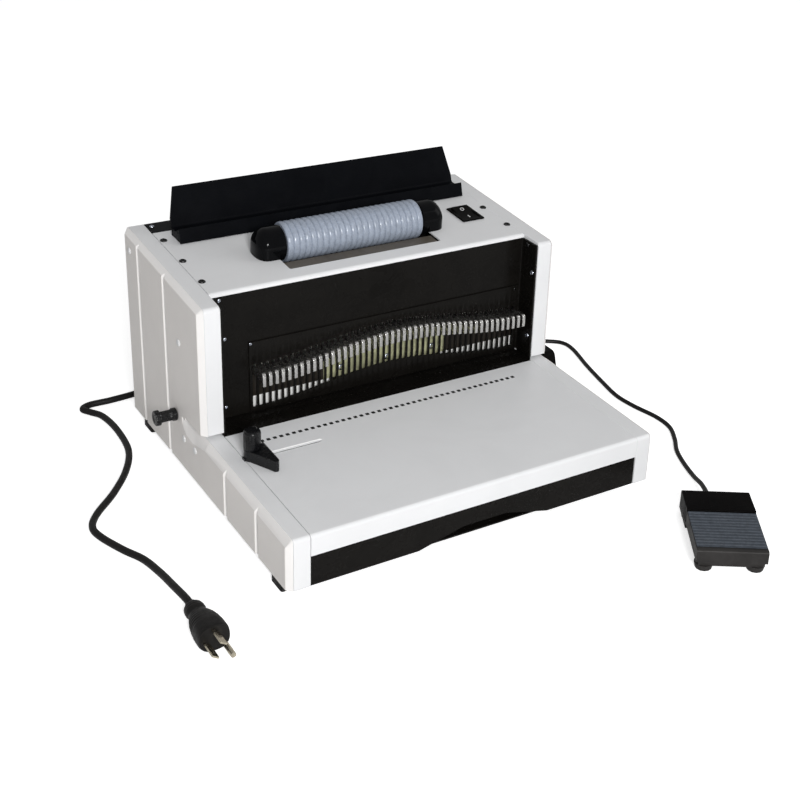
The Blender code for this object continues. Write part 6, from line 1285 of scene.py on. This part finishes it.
# %% Floor
floor_mesh = bpy.data.meshes.new("floor")
FLOOR_HALF = 6.0
FLOOR_GLOW = 0.66
FLOOR_COLOUR = (0.86, 0.86, 0.86, 1)
floor_mesh.from_pydata([(-FLOOR_HALF, -FLOOR_HALF, 0), (FLOOR_HALF, -FLOOR_HALF, 0), (FLOOR_HALF, FLOOR_HALF, 0),
                        (-FLOOR_HALF, FLOOR_HALF, 0)], [], [(0, 1, 2, 3)])
floor = bpy.data.objects.new("floor", floor_mesh)
bpy.context.scene.collection.objects.link(floor)
floor_paint = bpy.data.materials.new("floor")
floor_paint.use_nodes = True
tree = floor_paint.node_tree
shader = tree.nodes["Principled BSDF"]
shader.inputs["Base Color"].default_value = FLOOR_COLOUR
shader.inputs["Roughness"].default_value = 0.9
shader.inputs["Specular IOR Level"].default_value = 0.1
paths = tree.nodes.new("ShaderNodeLightPath")
glow = add_node(tree, "ShaderNodeEmission", Color=(1, 1, 1, 1), Strength=FLOOR_GLOW)
both = tree.nodes.new("ShaderNodeAddShader")
pick = tree.nodes.new("ShaderNodeMixShader")
tree.links.new(shader.outputs[0], both.inputs[0])
tree.links.new(glow.outputs[0], both.inputs[1])
seen = math_node(tree, "MAXIMUM", paths.outputs["Is Camera Ray"], paths.outputs["Is Transmission Ray"])
tree.links.new(seen, pick.inputs[0])
tree.links.new(shader.outputs[0], pick.inputs[1])
tree.links.new(both.outputs[0], pick.inputs[2])
tree.links.new(pick.outputs[0], tree.nodes["Material Output"].inputs["Surface"])
floor_mesh.materials.append(floor_paint)
print("floor", FLOOR_HALF * 2, "m wide")

# %% World
SKY = {"left": 0.30, "right": 0.42, "low": 0.75, "high": 1.0}
GLOSS_SKY = 0.40
world = bpy.data.worlds.new("studio")
bpy.context.scene.world = world
world.use_nodes = True
tree = world.node_tree
paths = tree.nodes.new("ShaderNodeLightPath")
shown = math_node(tree, "MAXIMUM", paths.outputs["Is Camera Ray"], paths.outputs["Is Transmission Ray"])
glossy = math_node(tree, "MULTIPLY", paths.outputs["Is Glossy Ray"], GLOSS_SKY)
facing = tree.nodes.new("ShaderNodeSeparateXYZ")
tree.links.new(tree.nodes.new("ShaderNodeTexCoord").outputs["Generated"], facing.inputs[0])
fill = math_node(tree, "MULTIPLY", ramp(tree, facing.outputs["X"], -1.0, 1.0, SKY["left"], SKY["right"]),
                 ramp(tree, facing.outputs["Z"], 0.0, 1.0, SKY["low"], SKY["high"]))
strength = math_node(tree, "MAXIMUM", math_node(tree, "MAXIMUM", shown, glossy), fill)
tree.links.new(strength, tree.nodes["Background"].inputs["Strength"])
tree.nodes["Background"].inputs["Color"].default_value = (1, 1, 1, 1)
print("world", len(tree.nodes), "nodes")


# %% Lamps
AIM = (0.0, 0.0, 0.1)


def lamp(name, place, size, power):
    """A square soft lamp at a place, turned towards the object's middle."""
    data = bpy.data.lights.new(name, "AREA")
    data.size = size
    data.energy = power
    made = bpy.data.objects.new(name, data)
    direction = np.subtract(AIM, place)
    flat = math.hypot(direction[0], direction[1])
    made.location = place
    made.rotation_euler = (math.atan2(flat, -direction[2]), 0, math.atan2(-direction[0], direction[1]))
    bpy.context.scene.collection.objects.link(made)


lamp("key", (-0.72, -2.0, 1.15), 0.45, 42.0)
lamp("right fill", (1.9, -0.9, 1.3), 1.4, 8.0)
bpy.context.scene.view_settings.view_transform = "Standard"
